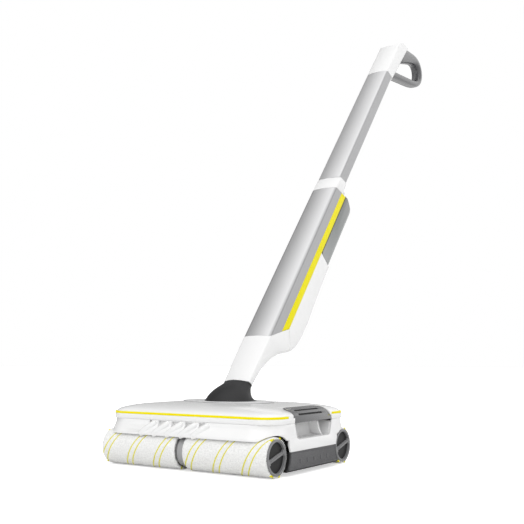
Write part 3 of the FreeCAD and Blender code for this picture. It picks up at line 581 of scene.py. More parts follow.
def roller_pile(end_y):
    """A sleeve of short pile: its ends are rounded and its surface is uneven, tuft by tuft."""
    pile = rod_x("pile", (PILE_START, PILE_END), end_y, AXLE_Z, PILE_R, 168, "NOTHING")
    work_on(pile, "EDGE")
    pick(lambda middle, along: abs(along.x) > 0.9)
    bpy.ops.mesh.subdivide(number_cuts=PILE_CUTS)
    leave()
    for depth, radius in PILE_ENDS:
        work_on(pile)
        pick(lambda point: -0.65 < min(point.x - PILE_START, PILE_END - point.x) - depth < 0.6)
        widen(1.0, radius / PILE_R, radius / PILE_R, (0, end_y, AXLE_Z))
        leave()
    modify(pile, "DISPLACE", texture=SOFT_NAP, strength=0.0009, mid_level=0.75)
    modify(pile, "DISPLACE", texture=FINE_NAP, strength=0.0015, mid_level=0.8)
    modify(pile, "SOLIDIFY", thickness=0.0045, offset=-1.0)
    return smooth(pile, 180)


def bar(name, x, middle_y, half_y, half_z):
    """A block across a roller's end, at the height of the axle."""
    return cube(name, x, (middle_y - half_y, middle_y + half_y), (AXLE_Z - half_z, AXLE_Z + half_z))


def end_cap(end_y):
    """A roller's end cap: a thin ring with a slanted finger bar across two D-shaped recesses."""
    cap = rod_x("cap", (CAP_START, CAP_END), end_y, AXLE_Z, CAP_R)
    hollow = rod_x("hollow", (CAP_START + 2.0, 170), end_y, AXLE_Z, CAP_R - 3.6)
    cut(hollow, bar("bar_room", (140, 180), end_y, 30, BAR_HALF))
    cut(cap, hollow, bar("bar_step", (CAP_END - 1.5, 180), end_y, 20.5, STEP_HALF))
    stops = [bar("stop", (CAP_START + 4, CAP_END - 0.3), end_y + side * 19.6, 1.1, 4.4) for side in (-1, 1)]
    weld(cap, bar("rib", (CAP_START + 4, CAP_END - 0.2), end_y, 19.0, RIB_HALF), *stops)
    ease_edges(cap, 0.4, 2, 40)
    turn(cap, "X", BAR_TURN, (0, end_y, AXLE_Z))
    return smooth(cap, 40)


def cap_bed(end_y):
    """The black floor of an end cap's two recesses."""
    bed = rod_x("cap_bed", (CAP_END - 4.4, CAP_END - 3.8), end_y, AXLE_Z, CAP_R - 3.4, 64)
    cut(bed, bar("bar_room", (140, 180), end_y, 30, BAR_HALF - 0.1))
    turn(bed, "X", BAR_TURN, (0, end_y, AXLE_Z))
    return smooth(bed)


def yarn_ends(end_y):
    """The four yellow yarn ends at the rim of a sleeve."""
    tufts = []
    for angle in YARN_ENDS:
        tuft = cube("tuft", (PILE_END - 2.6, PILE_END + 0.5), (end_y - 2.0, end_y + 2.0),
                    (AXLE_Z + PILE_R - 3.0, AXLE_Z + PILE_R - 0.1))
        ease_edges(tuft, 1.2, 3)
        tufts.append(turn(tuft, "X", -angle, (0, end_y, AXLE_Z)))
    return smooth(join(*tufts))


# ---- Rubber boot -----------------------------------------------------------------------------------
# (height, back, half width, half depth, tilt) of each ring, from the cover up to the neck
BOOT = ((101.3, 8.0, 45.0, 42.0, 0.0), (102.4, 8.0, 43.2, 39.8, 2.0), (106.0, 8.4, 40.0, 35.6, 10.0),
        (109.0, 10.2, 37.2, 32.0, 15.5), (112.0, 12.6, 34.8, 28.4, 21.0), (115.2, 15.8, 32.6, 23.8, 26.0),
        (118.5, 19.0, 30.8, 19.4, 31.0), (122.4, 23.2, 28.8, 15.2, 35.5), (125.6, 26.8, 27.5, 12.4, 38.6),
        (126.5, 27.9, 28.0, 12.4, 39.2), (127.8, 29.1, 28.0, 12.2, 39.8), (128.3, 29.6, 26.0, 10.4, 39.8))
BOOT_SPLIT = 7


def boot_part(name, rings):
    """A soft funnel raised ring by ring; each ring is an oval, tilted back."""
    height, back, half_x, half_y, tilt = rings[0]
    deselect()
    bpy.ops.mesh.primitive_circle_add(vertices=64, radius=0.001, location=mm(0, back, height))
    part = named(name)
    part.scale = (half_x, half_y, 1)
    part.rotation_euler[0] = -math.radians(tilt)
    place(part)
    work_on(part)
    pick_all()
    for next_height, next_back, next_x, next_y, next_tilt in rings[1:]:
        extrude(y=next_back - back, z=next_height - height)
        centre = (0, next_back, next_height)
        turn_picked(tilt, centre)
        widen(next_x / half_x, next_y / half_y, 1.0, centre)
        turn_picked(-next_tilt, centre)
        height, back, half_x, half_y, tilt = next_height, next_back, next_x, next_y, next_tilt
    leave()
    tidy_faces(part)
    modify(part, "SUBSURF", levels=1, render_levels=1, boundary_smooth="PRESERVE_CORNERS")
    modify(part, "SOLIDIFY", thickness=0.0016, offset=-1.0)
    return smooth(part, 60)


def turn_picked(degrees, centre):
    """Turns the selected points about X through a centre, the way a right hand turns."""
    mesh = bmesh.from_edit_mesh(bpy.context.object.data)
    middle = mm(*centre)
    spin = Euler((math.radians(degrees), 0, 0)).to_matrix()
    for point in mesh.verts:
        if point.select:
            point.co = middle + spin @ (point.co - middle)
    bmesh.update_edit_mesh(bpy.context.object.data)


# ---- Handle, modelled upright: x across, b to the back, s along --------------------------------------
FRONT_B = -22.0
FACE_RADIUS = 108.0
BODY_X = 28.4
NECK_X = 26.4
TUBE_X = 26.2
RIDGE = 3.2
SHELL_S, BODY_TOP_S, COLLAR_S, TUBE_TOP_S = 158.3, 568.0, 602.7, 1009.3
SLANT = math.tan(math.radians(22.0))
NECK_S, PIVOT_S, PIVOT_B = 61.6, 24.5, -12.5
STRIP_LOW_B, STRIP_HIGH_B = 4.35, 21.0
ROOF = ((-26.0, 1123.0), (-4.0, 1161.0), (18.0, 1176.0))
ROOF_TOP_S = 1179.0
SOCKET_Z, SOCKET_R = 330.0, 6.0


def slice_off(piece, b, s, slope, keep_below):
    """Cuts the piece along a plane that rises towards the back, and closes the cut."""
    work_on(piece)
    pick_all()
    bpy.ops.mesh.bisect(plane_co=mm(0, b, s), plane_no=Vector((0, -slope, 1)).normalized(), use_fill=True,
                        clear_outer=keep_below, clear_inner=not keep_below)
    leave()
    return piece


def crown_outline(half_x, back):
    """(x, b) corners of the handle's section: a crowned front and two flat sides."""
    across = [half_x * step / 6 for step in range(-6, 7)]
    crown = [(x, FRONT_B + FACE_RADIUS - math.sqrt(FACE_RADIUS ** 2 - x ** 2)) for x in across]
    return crown + [(half_x, back), (-half_x, back)]


def handle_bar(name, half_x, back, s, back_corner, ridge, top_x=None, top_back=None):
    """A length of the handle: flat sides, a crowned front with soft ridges and a round back."""
    length = outline(name, [mm(x, b, s[0]) for x, b in crown_outline(half_x, back)])
    work_on(length)
    if back_corner:
        pick(lambda point: point.y > back - 0.1)
        bevel_picked(back_corner, 9, "VERTICES")
    pick(lambda point: abs(point.x) > half_x - 0.1 and point.y < FRONT_B + 8)
    bevel_picked(ridge, 6, "VERTICES")
    leave()
    work_on(length, "FACE")
    pick_all()
    extrude(z=s[1] - s[0])
    if top_x:
        widen(top_x / half_x, 1.0)
    leave()
    if top_back:
        work_on(length)
        pick(lambda point: point.z > s[1] - 1 and point.y > FRONT_B + 12)
        move(y=top_back - back)
        leave()
    return tidy_faces(length)


def front_shell():
    """The silver front of the body, open at the back, with a stepped lower edge on its sides."""
    shell = handle_bar("front_silver", BODY_X, STRIP_LOW_B, (140, 600), 0, RIDGE)
    cut(shell, cube("room", (1.8 - BODY_X, BODY_X - 1.8), (FRONT_B + 5.2, 40), (100, 700)))
    corners = ((-60, 100), (-60, SHELL_S), (-19.2, 162.2), (STRIP_LOW_B + 0.5, 193.8), (40, 220), (40, 100))
    cut(shell, side_plate("foot", corners, (-60, 60)))
    slice_off(shell, FRONT_B, BODY_TOP_S, SLANT, True)
    return smooth(lean_back(shell), 40)


def upper_tube():
    """The silver tube between the collar and the cap."""
    tube = handle_bar("upper_silver", TUBE_X, 13.0, (590, 1050), 10.5, RIDGE)
    slice_off(tube, FRONT_B, COLLAR_S, SLANT, False)
    slice_off(tube, FRONT_B, TUBE_TOP_S, SLANT, True)
    return smooth(lean_back(tube), 40)


def collar():
    """The white ring between the body and the tube."""
    ring = handle_bar("white_collar", BODY_X + 0.1, 17.5, (560, 640), 12.0, 3.0, TUBE_X + 0.7, 13.6)
    slice_off(ring, FRONT_B, BODY_TOP_S + 0.5, SLANT, False)
    slice_off(ring, FRONT_B, COLLAR_S - 0.5, SLANT, True)
    ease_edges(ring, 0.5, 2, 50)
    return smooth(lean_back(ring), 40)


def roof_slope(first, second):
    return (second[1] - first[1]) / (second[0] - first[0])


def cap():
    """White head of the handle: its roof rises to the back in two soft slopes."""
    head = handle_bar("white_cap", TUBE_X + 0.3, 14.5, (990, 1200), 11.0, 3.6, TUBE_X, 29.0)
    slice_off(head, FRONT_B, TUBE_TOP_S + 0.5, SLANT, False)
    slice_off(head, ROOF[0][0], ROOF[0][1], roof_slope(ROOF[0], ROOF[1]), True)
    slice_off(head, ROOF[1][0], ROOF[1][1], roof_slope(ROOF[1], ROOF[2]), True)
    slice_off(head, 0, ROOF_TOP_S, 0.0, True)
    tidy_faces(head)
    work_on(head, "EDGE")
    pick(lambda middle, along: middle.z > ROOF[0][1] - 8 and abs(along.z) < 0.97)
    bpy.ops.mesh.bevel(offset=0.0022, segments=4, affect="EDGES", clamp_overlap=True)
    leave()
    tidy_faces(head)
    return smooth(lean_back(head), 45)


# (back, along, thickness, turn) of the grip's sections, from the top of the cap round to the tube
GRIP_PATH = ((10, 1146, 50, 45), (34, 1176, 44, 46), (60, 1207, 34, 46), (86, 1237.5, 26, 40),
             (106, 1248.5, 22, 14), (124, 1247.5, 21, -20), (137, 1236.5, 21, -58),
             (142.5, 1221.5, 19.5, -84), (141.6, 1206, 18, -102), (133, 1190, 17.5, -124),
             (113, 1165.5, 17, -133), (90, 1141, 17, -133), (64, 1113, 17.5, -133), (36, 1083, 18, -133),
             (8, 1053, 19, -133))
GRIP_X = 13.4
GRIP_POINTS = 20
GRIP_SQUARE = 0.72


def grip_section(middle_b, middle_s, thickness, turn_degrees):
    """Points of one section: a soft rectangle across the path."""
    across = math.radians(turn_degrees + 90.0)
    points = []
    for step in range(GRIP_POINTS):
        angle = math.tau * step / GRIP_POINTS
        x = GRIP_X * math.copysign(abs(math.cos(angle)) ** GRIP_SQUARE, math.cos(angle))
        out = thickness / 2 * math.copysign(abs(math.sin(angle)) ** GRIP_SQUARE, math.sin(angle))
        points.append(mm(x, middle_b + out * math.cos(across), middle_s + out * math.sin(across)))
    return points


def grip_loop():
    """The D grip: a soft rectangle swept section by section round the finger opening."""
    loop = outline("d_grip", grip_section(*GRIP_PATH[0]), "NOTHING")
    work_on(loop)
    pick_all()
    for section in GRIP_PATH[1:]:
        extrude()
        mesh = bmesh.from_edit_mesh(loop.data)
        picked = [point for point in mesh.verts if point.select]
        for point, spot in zip(sorted(picked, key=lambda point: point.index), grip_section(*section)):
            point.co = spot
        bmesh.update_edit_mesh(loop.data)
    leave()
    work_on(loop, "EDGE")
    bpy.ops.mesh.select_non_manifold()
    bpy.ops.mesh.fill_holes(sides=GRIP_POINTS)
    leave()
    tidy_faces(loop)
    modify(loop, "SUBSURF", levels=2, render_levels=2)
    cut(loop, cube("room", (-40, 40), (-60, 12.0), (900, 1400)))
    return smooth(lean_back(loop), 60)


# (back, along) of the tank's side
TANK_FRONT_B, TANK_S = 23.2, 415.2
TANK_SIDE = ((TANK_FRONT_B, TANK_S), (65, TANK_S), (65, 540), (63.4, 566), (55, 579.5), (40, 587.5),
             (TANK_FRONT_B, 591.0))


def fresh_tank():
    """The smoked water tank: round at the back and falling away at the top."""
    tank = side_plate("fresh_tank", TANK_SIDE, (-40, 40), 7.0, 6)
    column = cube("column", (-BODY_X, BODY_X), (10, 65), (380, 640))
    round_uprights(column, 15.0, 12, lambda middle: middle.y > 30)
    keep_inside(tank, column)
    cut(tank, cube("latch_room", (-10.5, 10.5), (60.5, 80), (519.4, 532.6)))
    ease_edges(tank, 0.8, 3, 40)
    return smooth(lean_back(tank), 40)


# (along, back) of the white lower body, up to the tank
LOWER_BODY = ((61.6, -3.0), (82, -1.6), (100, 0.8), (116, 4.8), (132, 10.8), (146, 18.0), (160, 27.4),
              (172, 38.4), (184, 50.0), (194, 57.6), (204, 62.8), (220, 67.0), (236, 69.2), (272, 70.6),
              (320, 67.6), (366, 65.6), (414.2, 65.0))
# (back, along) of the line where the foot meets the silver front, the strips and the back cover
PARTING = ((-60, SHELL_S - 0.3), (-19.2, 161.9), (4.6, 193.3), (21.0, 213.4), (56.6, 176.4), (120, 140))
COVER_PARTING = ((21.2, 213.9), (56.9, 176.9), (120, 144), (120, 700), (21.2, 700))
SWELL_TOP_S = 172
SWELL = 1.0 + (BODY_X / NECK_X - 1.0) * 0.155


def lower_body(name):
    """The white lower body in one: it swells to the back from the neck up to the battery bay."""
    (foot, back), (low, _) = LOWER_BODY[:2]
    body = handle_bar(name, NECK_X, back, (foot, low), 9.0, 2.8)
    for along, next_back in LOWER_BODY[1:]:
        if along > low:
            work_on(body, "FACE")
            pick(lambda middle, out: middle.z > low - 1 and out.z > 0.5)
            extrude(z=along - low)
            leave()
        work_on(body)
        pick(lambda point: point.z > along - 0.5 and point.y > FRONT_B + 8.5)
        move(y=next_back - back)
        pick(lambda point: point.z > along - 0.5)
        if along <= SWELL_TOP_S:
            widen(SWELL, 1.0)
        leave()
        low, back = along, next_back
    return tidy_faces(body)


def neck():
    """White foot of the handle, with the spine that goes on up inside the silver front."""
    foot = lower_body("neck")
    cut(foot, side_plate("above", PARTING + ((120, 700), (-60, 700)), (-60, 60)))
    ease_edges(foot, 0.45, 2, 50)
    spine = cube("spine", (-24.4, 24.4), (-18.0, 20.4), (150, 596.0))
    ease_edges(spine, 0.8, 2)
    stem = rod_z("stem", PIVOT_B, (PIVOT_S + 8.0, NECK_S + 2.0), 11.0, 48)
    ease_edges(stem, 0.8, 2)
    join(foot, spine, stem)
    return smooth(lean_back(foot), 40)


def back_cover():
    """White cover of the battery bay, with the small charging socket at its back."""
    cover = lower_body("bay_cover")
    keep_inside(cover, side_plate("keep", COVER_PARTING, (-60, 60)))
    socket_hole = turn(rod_z("socket_hole", 0, (50, 80), SOCKET_R, 48), "X", -90.0, (0, 0, 0))
    socket_hole.location = mm(0, 0, SOCKET_Z)
    cut(cover, place(socket_hole))
    ease_edges(cover, 0.45, 2, 50)
    return smooth(lean_back(cover), 40)


def tank_gap_shadow():
    """Painted shadow: a thin black sheet in the gap between the yellow strips and the tank, where the gap's
    shade falls.
    """
    front, back = STRIP_HIGH_B + 0.2, TANK_FRONT_B - 0.1
    corners = ((front, TANK_S), (back, TANK_S), (back, 589.6), (front, 584.6))
    shadow_sheet = side_plate("tank_gap_shadow", corners, (0.4 - BODY_X, BODY_X - 0.4))
    seat = cube("seat", (0.5 - BODY_X, BODY_X - 0.5), (front, 64.4), (TANK_S - 0.85, TANK_S - 0.1))
    round_uprights(seat, 14.5, 9, lambda middle: middle.y > 40)
    cut(shadow_sheet, cube("tank_room", (1.6 - BODY_X, BODY_X - 1.6), (0, 60), (418, 583)))
    join(ease_edges(shadow_sheet, 0.2, 2), seat)
    return smooth(lean_back(shadow_sheet))


def side_strip():
    """The right yellow strip, between the silver front and the tank."""
    front = STRIP_LOW_B + 0.15
    corners = ((front, 193.6), (STRIP_HIGH_B, 214.4), (STRIP_HIGH_B, 585.1), (front, 578.4))
    strip = side_plate("strip", corners, (24.6, BODY_X + 0.2))
    ease_edges(strip, 0.5, 3, 40)
    return smooth(lean_back(strip), 40)


# ---- Finishes --------------------------------------------------------------------------------------
class Finish:
    """A material with one shader, and short calls for the nodes that feed it."""

    def __init__(self, name, colour, roughness, metallic=0.0, coat=0.0, specular=0.5):
        self.material = bpy.data.materials.new(name)
        self.material.use_nodes = True
        self.nodes = self.material.node_tree.nodes
        self.links = self.material.node_tree.links
        self.shader = self.nodes["Principled BSDF"]
        self.shader.inputs["Base Color"].default_value = (*colour, 1.0)
        self.shader.inputs["Roughness"].default_value = roughness
        self.shader.inputs["Metallic"].default_value = metallic
        self.shader.inputs["Coat Weight"].default_value = coat
        self.shader.inputs["Coat Roughness"].default_value = 0.08
        self.shader.inputs["Specular IOR Level"].default_value = specular
        self.coords = self.nodes.new("ShaderNodeTexCoord")

    def place(self, scale=(1, 1, 1), rotation=(0, 0, 0), location=(0, 0, 0)):
        mapping = self.nodes.new("ShaderNodeMapping")
        mapping.inputs["Scale"].default_value = scale
        mapping.inputs["Rotation"].default_value = rotation
        mapping.inputs["Location"].default_value = location
        self.links.new(self.coords.outputs["Object"], mapping.inputs["Vector"])
        return mapping.outputs["Vector"]

    def noise(self, vector, scale, detail, roughness=0.5):
        node = self.nodes.new("ShaderNodeTexNoise")
        node.inputs["Scale"].default_value = scale
        node.inputs["Detail"].default_value = detail
        node.inputs["Roughness"].default_value = roughness
        self.links.new(vector, node.inputs["Vector"])
        return node.outputs["Fac"]

    def ramp(self, factor, stops):
        node = self.nodes.new("ShaderNodeValToRGB")
        elements = node.color_ramp.elements
        while len(elements) < len(stops):
            elements.new(0.5)
        for element, (position, colour) in zip(elements, stops):
            element.position = position
            element.color = (*colour, 1.0)
        self.links.new(factor, node.inputs["Fac"])
        return node.outputs["Color"]

    def span(self, factor, low, high, new_low, new_high):
        node = self.nodes.new("ShaderNodeMapRange")
        for key, value in (("From Min", low), ("From Max", high), ("To Min", new_low), ("To Max", new_high)):
            node.inputs[key].default_value = value
        self.links.new(factor, node.inputs["Value"])
        return node.outputs["Result"]

    def maths(self, operation, first, second=None):
        node = self.nodes.new("ShaderNodeMath")
        node.operation = operation
        for socket, value in zip(node.inputs, (first, second)):
            if isinstance(value, (int, float)):
                socket.default_value = value
            elif value is not None:
                self.links.new(value, socket)
        return node.outputs["Value"]

    def split(self, vector):
        node = self.nodes.new("ShaderNodeSeparateXYZ")
        self.links.new(vector, node.inputs["Vector"])
        return node.outputs["X"], node.outputs["Y"], node.outputs["Z"]

    def blend(self, factor, first, second):
        node = self.nodes.new("ShaderNodeMix")
        node.data_type = "RGBA"
        self.links.new(factor, node.inputs["Factor"])
        for socket, value in zip((node.inputs[6], node.inputs[7]), (first, second)):
            if isinstance(value, tuple):
                socket.default_value = (*value, 1.0)
            else:
                self.links.new(value, socket)
        return node.outputs[2]

    def bump(self, height, strength, distance):
        node = self.nodes.new("ShaderNodeBump")
        node.inputs["Strength"].default_value = strength
        node.inputs["Distance"].default_value = distance * 0.001
        self.links.new(height, node.inputs["Height"])
        self.links.new(node.outputs["Normal"], self.shader.inputs["Normal"])

    def feed(self, socket, value):
        self.links.new(value, self.shader.inputs[socket])


def moulded(name, colour, roughness, coat=0.0, grain=900.0, depth=0.05, shade=0.03, specular=0.5):
    """Moulded plastic: faint colour drift, uneven gloss and a fine surface grain."""
    finish = Finish(name, colour, roughness, coat=coat, specular=specular)
    vector = finish.place()
    drift = finish.noise(vector, 9.0, 2.0)
    darker = tuple(value * (1.0 - shade) for value in colour)
    finish.feed("Base Color", finish.ramp(drift, ((0.3, darker), (0.7, colour))))
    fine = finish.noise(vector, grain, 4.0)
    finish.feed("Roughness", finish.span(fine, 0.3, 0.7, roughness * 0.85, roughness * 1.15))
    finish.bump(fine, depth, 0.4)
    return finish.material


def satin_silver():
    """Satin silver paint: fine lines along the handle, with painted shade that darkens the ridges and the
    sides.
    """
    finish = Finish("satin_silver", (0.68, 0.68, 0.685), 0.34, metallic=0.85)
    vector = finish.place(scale=(1, 1, 0.02), rotation=(LEAN, 0, 0))
    grain = finish.noise(vector, 1800.0, 2.0)
    finish.feed("Roughness", finish.span(grain, 0.3, 0.7, 0.3, 0.4))
    broad = finish.noise(finish.place(), 5.0, 2.0)
    paint_colour = finish.ramp(broad, ((0.3, (0.66, 0.66, 0.665)), (0.7, (0.69, 0.69, 0.695))))
    # painted shade: the colour turns dark grey towards the sides, standing in for the shade on the ridges
    # and side faces
    off_middle = finish.maths("ABSOLUTE", finish.split(finish.place())[0])
    side = finish.span(off_middle, 0.0225, 0.0262, 0.0, 1.0)
    finish.feed("Base Color", finish.blend(side, paint_colour, (0.4, 0.4, 0.405)))
    finish.bump(grain, 0.04, 0.3)
    return finish.material


def smoked_tank():
    """Smoked tank: darker at its upper end, with a glossy moulded skin."""
    finish = Finish("smoked_tank", (0.2, 0.21, 0.21), 0.12, coat=0.5)
    along = finish.split(finish.place(rotation=(LEAN, 0, 0)))[2]
    level = finish.span(along, 0.47, 0.66, 0.0, 1.0)
    finish.feed("Base Color", finish.ramp(level, ((0.0, (0.32, 0.33, 0.33)), (0.45, (0.18, 0.195, 0.19)),
                                                  (1.0, (0.095, 0.103, 0.1)))))
    cloud = finish.noise(finish.place(), 40.0, 3.0)
    finish.feed("Roughness", finish.span(cloud, 0.3, 0.7, 0.1, 0.22))
    return finish.material


def rubber():
    """Black rubber with a little dust on it."""
    finish = Finish("black_rubber", (0.024, 0.024, 0.025), 0.5, specular=0.3)
    vector = finish.place()
    dust = finish.noise(vector, 60.0, 4.0)
    finish.feed("Base Color", finish.ramp(dust, ((0.35, (0.016, 0.016, 0.017)),
                                                 (0.75, (0.026, 0.026, 0.027)))))
    finish.feed("Roughness", finish.span(dust, 0.3, 0.7, 0.4, 0.6))
    finish.bump(finish.noise(vector, 1400.0, 3.0), 0.1, 0.4)
    return finish.material


def guard_texture():
    """Guard strip: a coarse spark texture."""
    finish = Finish("guard_texture", (0.1, 0.1, 0.105), 0.5)
    spark = finish.noise(finish.place(), 520.0, 6.0, 0.7)
    finish.feed("Base Color", finish.ramp(spark, ((0.35, (0.065, 0.065, 0.068)),
                                                  (0.7, (0.115, 0.115, 0.12)))))
    finish.bump(spark, 0.4, 0.6)
    return finish.material


YARN_GAP = 11.3
YARN_TURNS = 2.0


def microfibre(name, axle_y, step, phase):
    """Short white pile with yellow double yarns wound round it, two pairs to each turn."""
    finish = Finish(name, (0.88, 0.88, 0.87), 0.92, specular=0.15)
    finish.shader.inputs["Sheen Weight"].default_value = 0.3
    finish.shader.inputs["Sheen Roughness"].default_value = 0.5
    vector = finish.place(location=(0, -axle_y * 0.001, -AXLE_Z * 0.001))
    x, y, z = finish.split(vector)
    angle = finish.maths("ARCTAN2", z, finish.maths("MULTIPLY", y, -1.0))
    turn_share = finish.maths("DIVIDE", angle, math.tau)
    fuzz = finish.noise(vector, 900.0, 3.0)
    wander = finish.span(fuzz, 0.0, 1.0, -0.01, 0.01)
    along = finish.maths("DIVIDE", x, step * 0.001)
    wound = finish.maths("SUBTRACT", along, finish.maths("MULTIPLY", turn_share, YARN_TURNS))
    cycle = finish.maths("FRACT", finish.maths("ADD", wound, finish.maths("ADD", wander, phase)))
    off_middle = finish.maths("ABSOLUTE", finish.maths("SUBTRACT", cycle, 0.5))
    off_yarn = finish.maths("ABSOLUTE", finish.maths("SUBTRACT", off_middle, YARN_GAP / step / 2))
    yarn = finish.span(off_yarn, 0.016, 0.03, 1.0, 0.0)
    tuft = finish.noise(vector, 420.0, 5.0, 0.7)
    white = finish.ramp(tuft, ((0.3, (0.72, 0.72, 0.71)), (0.6, (0.9, 0.9, 0.89))))
    finish.feed("Base Color", finish.blend(yarn, white, (0.74, 0.69, 0.05)))
    finish.bump(finish.maths("ADD", tuft, fuzz), 0.4, 0.8)
    return finish.material


def turned_steel():
    """Bare steel with fine turning marks."""
    finish = Finish("turned_steel", (0.6, 0.6, 0.61), 0.3, metallic=1.0)
    grain = finish.noise(finish.place(scale=(40, 1, 1)), 300.0, 2.0)
    finish.feed("Roughness", finish.span(grain, 0.3, 0.7, 0.22, 0.38))
    return finish.material


def circuit_board():
    """Green board with paler tracks."""
    finish = Finish("circuit_board", (0.02, 0.16, 0.07), 0.35)
    tracks = finish.noise(finish.place(), 220.0, 1.0)
    finish.feed("Base Color", finish.ramp(tracks, ((0.48, (0.015, 0.12, 0.05)), (0.52, (0.03, 0.22, 0.1)))))
    return finish.material


def bronze():
    """Porous bearing bronze."""
    finish = Finish("sintered_bronze", (0.55, 0.4, 0.18), 0.4, metallic=1.0)
    pores = finish.noise(finish.place(), 1500.0, 4.0)
    finish.feed("Roughness", finish.span(pores, 0.3, 0.7, 0.32, 0.5))
    return finish.material


WHITE = moulded("white_gloss", (0.86, 0.86, 0.86), 0.24, coat=0.3, grain=700.0, depth=0.02, shade=0.015)
BLACK = moulded("black_satin", (0.012, 0.012, 0.0125), 0.5, specular=0.3)
DARK = moulded("dark_grey_pad", (0.07, 0.07, 0.074), 0.24, coat=0.6, grain=1500.0, depth=0.1, shade=0.1)
CAP_GREY = moulded("cap_grey", (0.2, 0.2, 0.205), 0.36, grain=1100.0, depth=0.06)
YELLOW = moulded("yellow_gloss", (0.9, 0.8, 0.0), 0.4, shade=0.03, specular=0.12)
GREY = moulded("grey_moulded", (0.36, 0.36, 0.365), 0.45)
GRIP = moulded("grip_gloss", (0.11, 0.11, 0.115), 0.22, coat=0.4, grain=900.0, depth=0.04, shade=0.08)
DIRTY_TANK = moulded("dirty_tank_plastic", (0.6, 0.62, 0.63), 0.25)
WRAP = moulded("battery_wrap", (0.05, 0.11, 0.2), 0.4)
BRONZE = bronze()
SILVER = satin_silver()
SMOKE = smoked_tank()
RUBBER = rubber()
GUARD = guard_texture()
STEEL = turned_steel()
BOARD = circuit_board()
PILE = {"front": {"left": microfibre("microfibre_front_left", -AXLE_Y, 54.0, 0.15),
                  "right": microfibre("microfibre_front_right", -AXLE_Y, 51.5, -0.018)},
        "rear": microfibre("microfibre_rear", AXLE_Y, 51.5, 0.3)}

SLOT_FINISH = {"white_plastic": WHITE, "black_plastic": BLACK, "dark_grey_plastic": DARK,
               "cap_grey": CAP_GREY, "yellow_plastic": YELLOW, "satin_silver": SILVER, "grey_plastic": GREY,
               "dirty_tank_plastic": DIRTY_TANK, "smoked_tank": SMOKE, "rubber": RUBBER,
               "microfibre": PILE["rear"], "steel": STEEL, "bearing_bronze": BRONZE, "battery_wrap": WRAP,
               "circuit_board": BOARD}


def paint(piece, material):
    """Gives the whole piece one finish."""
    piece.data.materials.clear()
    piece.data.materials.append(material)
    for face in piece.data.polygons:
        face.material_index = 0


def paint_nodes():
    """Every CAD node gets the finish of its record slot."""
    for entry in frame["record"]["subparts"]:
        paint(frame["nodes"][entry["node"]], SLOT_FINISH[entry["material_slot"]])


# ---- Putting it together ---------------------------------------------------------------------------
def fit(piece, body, slot, material, *nodes):
    """Gives a finished piece its finish and its body, and hides the CAD nodes that it stands for."""
    paint(piece, material)
    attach(piece, body)
    if nodes:
        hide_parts(*nodes)
    return piece


def fit_both(piece, name, body, slot, material, node=None, angle=40.0):
    """Fits a right-hand piece and its mirror image on the left; {} in a name stands for the side."""
    left = mirrored(piece, name.format("left"), angle)
    piece.name = name.format("right")
    for side, one in (("right", piece), ("left", left)):
        finish = material[side] if isinstance(material, dict) else material
        fit(one, body.format(side), slot, finish, *([node.format(side)] if node else []))


def build_head():
    fit(head_cover(), "head", "white_plastic", WHITE, "head_cover")
    fit(joint_plate(), "head", "white_plastic", WHITE)
    # painted shadow: the grey ring round the joint plate
    fit(painted_plate_shadow(), "head", "grey_plastic", GREY)
    fit(trim_line(True), "head", "yellow_plastic", YELLOW, "front_trim")
    fit(trim_line(False), "head", "yellow_plastic", YELLOW, "rear_trim")
    fit(head_skirt(), "head", "white_plastic", WHITE, "head_skirt")
    fit_both(hand_pocket(), "{}_pocket", "head", "white_plastic", WHITE, angle=None)
    fit_both(grip_pad(), "{}_pad_cover", "{}_pad", "dark_grey_plastic", DARK, "{}_grip_pad")
    fit_both(slot_beds(), "{}_slot_beds", "{}_pad", "black_plastic", BLACK, angle=35.0)
    fit_both(side_guard(), "{}_guard", "head", "dark_grey_plastic", GUARD, "{}_side_band")


def build_rollers():
    for end, end_y in (("front", -AXLE_Y), ("rear", AXLE_Y)):
        roller = end + "_{}_roller"
        fit_both(roller_pile(end_y), end + "_{}_sleeve", roller, "microfibre", PILE[end],
                 end + "_{}_pile", 180)
        fit_both(end_cap(end_y), end + "_{}_cap", roller, "cap_grey", CAP_GREY, end + "_{}_end_cap")
        fit_both(yarn_ends(end_y), end + "_{}_yarn_ends", roller, "yellow_plastic", YELLOW, angle=35.0)
        fit_both(cap_bed(end_y), end + "_{}_cap_bed", roller, "black_plastic", BLACK, angle=35.0)


def build_boot():
    """The boot in two lengths: a lower one and a short upper one."""
    skirt = boot_part("boot_skirt", BOOT[:BOOT_SPLIT + 1])
    sleeve = boot_part("boot_sleeve", BOOT[BOOT_SPLIT:])
    for piece in (skirt, sleeve):
        paint(piece, RUBBER)
        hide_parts("joint_boot")
    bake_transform(skirt)
    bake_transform(sleeve)


def build_handle():
    fit(neck(), "handle", "white_plastic", WHITE, "neck_housing")
    fit(back_cover(), "handle", "white_plastic", WHITE, "back_cover")
    fit(front_shell(), "handle", "satin_silver", SILVER, "front_shell")
    fit(upper_tube(), "handle", "satin_silver", SILVER, "upper_tube")
    fit(collar(), "handle", "white_plastic", WHITE, "collar")
    fit(cap(), "handle", "white_plastic", WHITE, "handle_cap")
    fit(grip_loop(), "handle", "dark_grey_plastic", GRIP, "grip_loop")
    fit(fresh_tank(), "fresh_tank", "smoked_tank", SMOKE, "fresh_water_tank")
    # painted shadow: the black sheet in the gap between the yellow strips and the tank
    fit(tank_gap_shadow(), "handle", "black_plastic", BLACK)
    fit_both(side_strip(), "{}_yellow_strip", "handle", "yellow_plastic", YELLOW, "{}_strip")


# ---- Stage -----------------------------------------------------------------------------------------
CAMERA_AZIMUTH, CAMERA_RISE = 34.94, 6.01
CAMERA_SPOT = (738.3, -1056.9, 164.2)
LENS, SENSOR = 53.0, 36.0
SHIFT = (0.065, 0.0367)
FLOOR_GLOW = 0.55


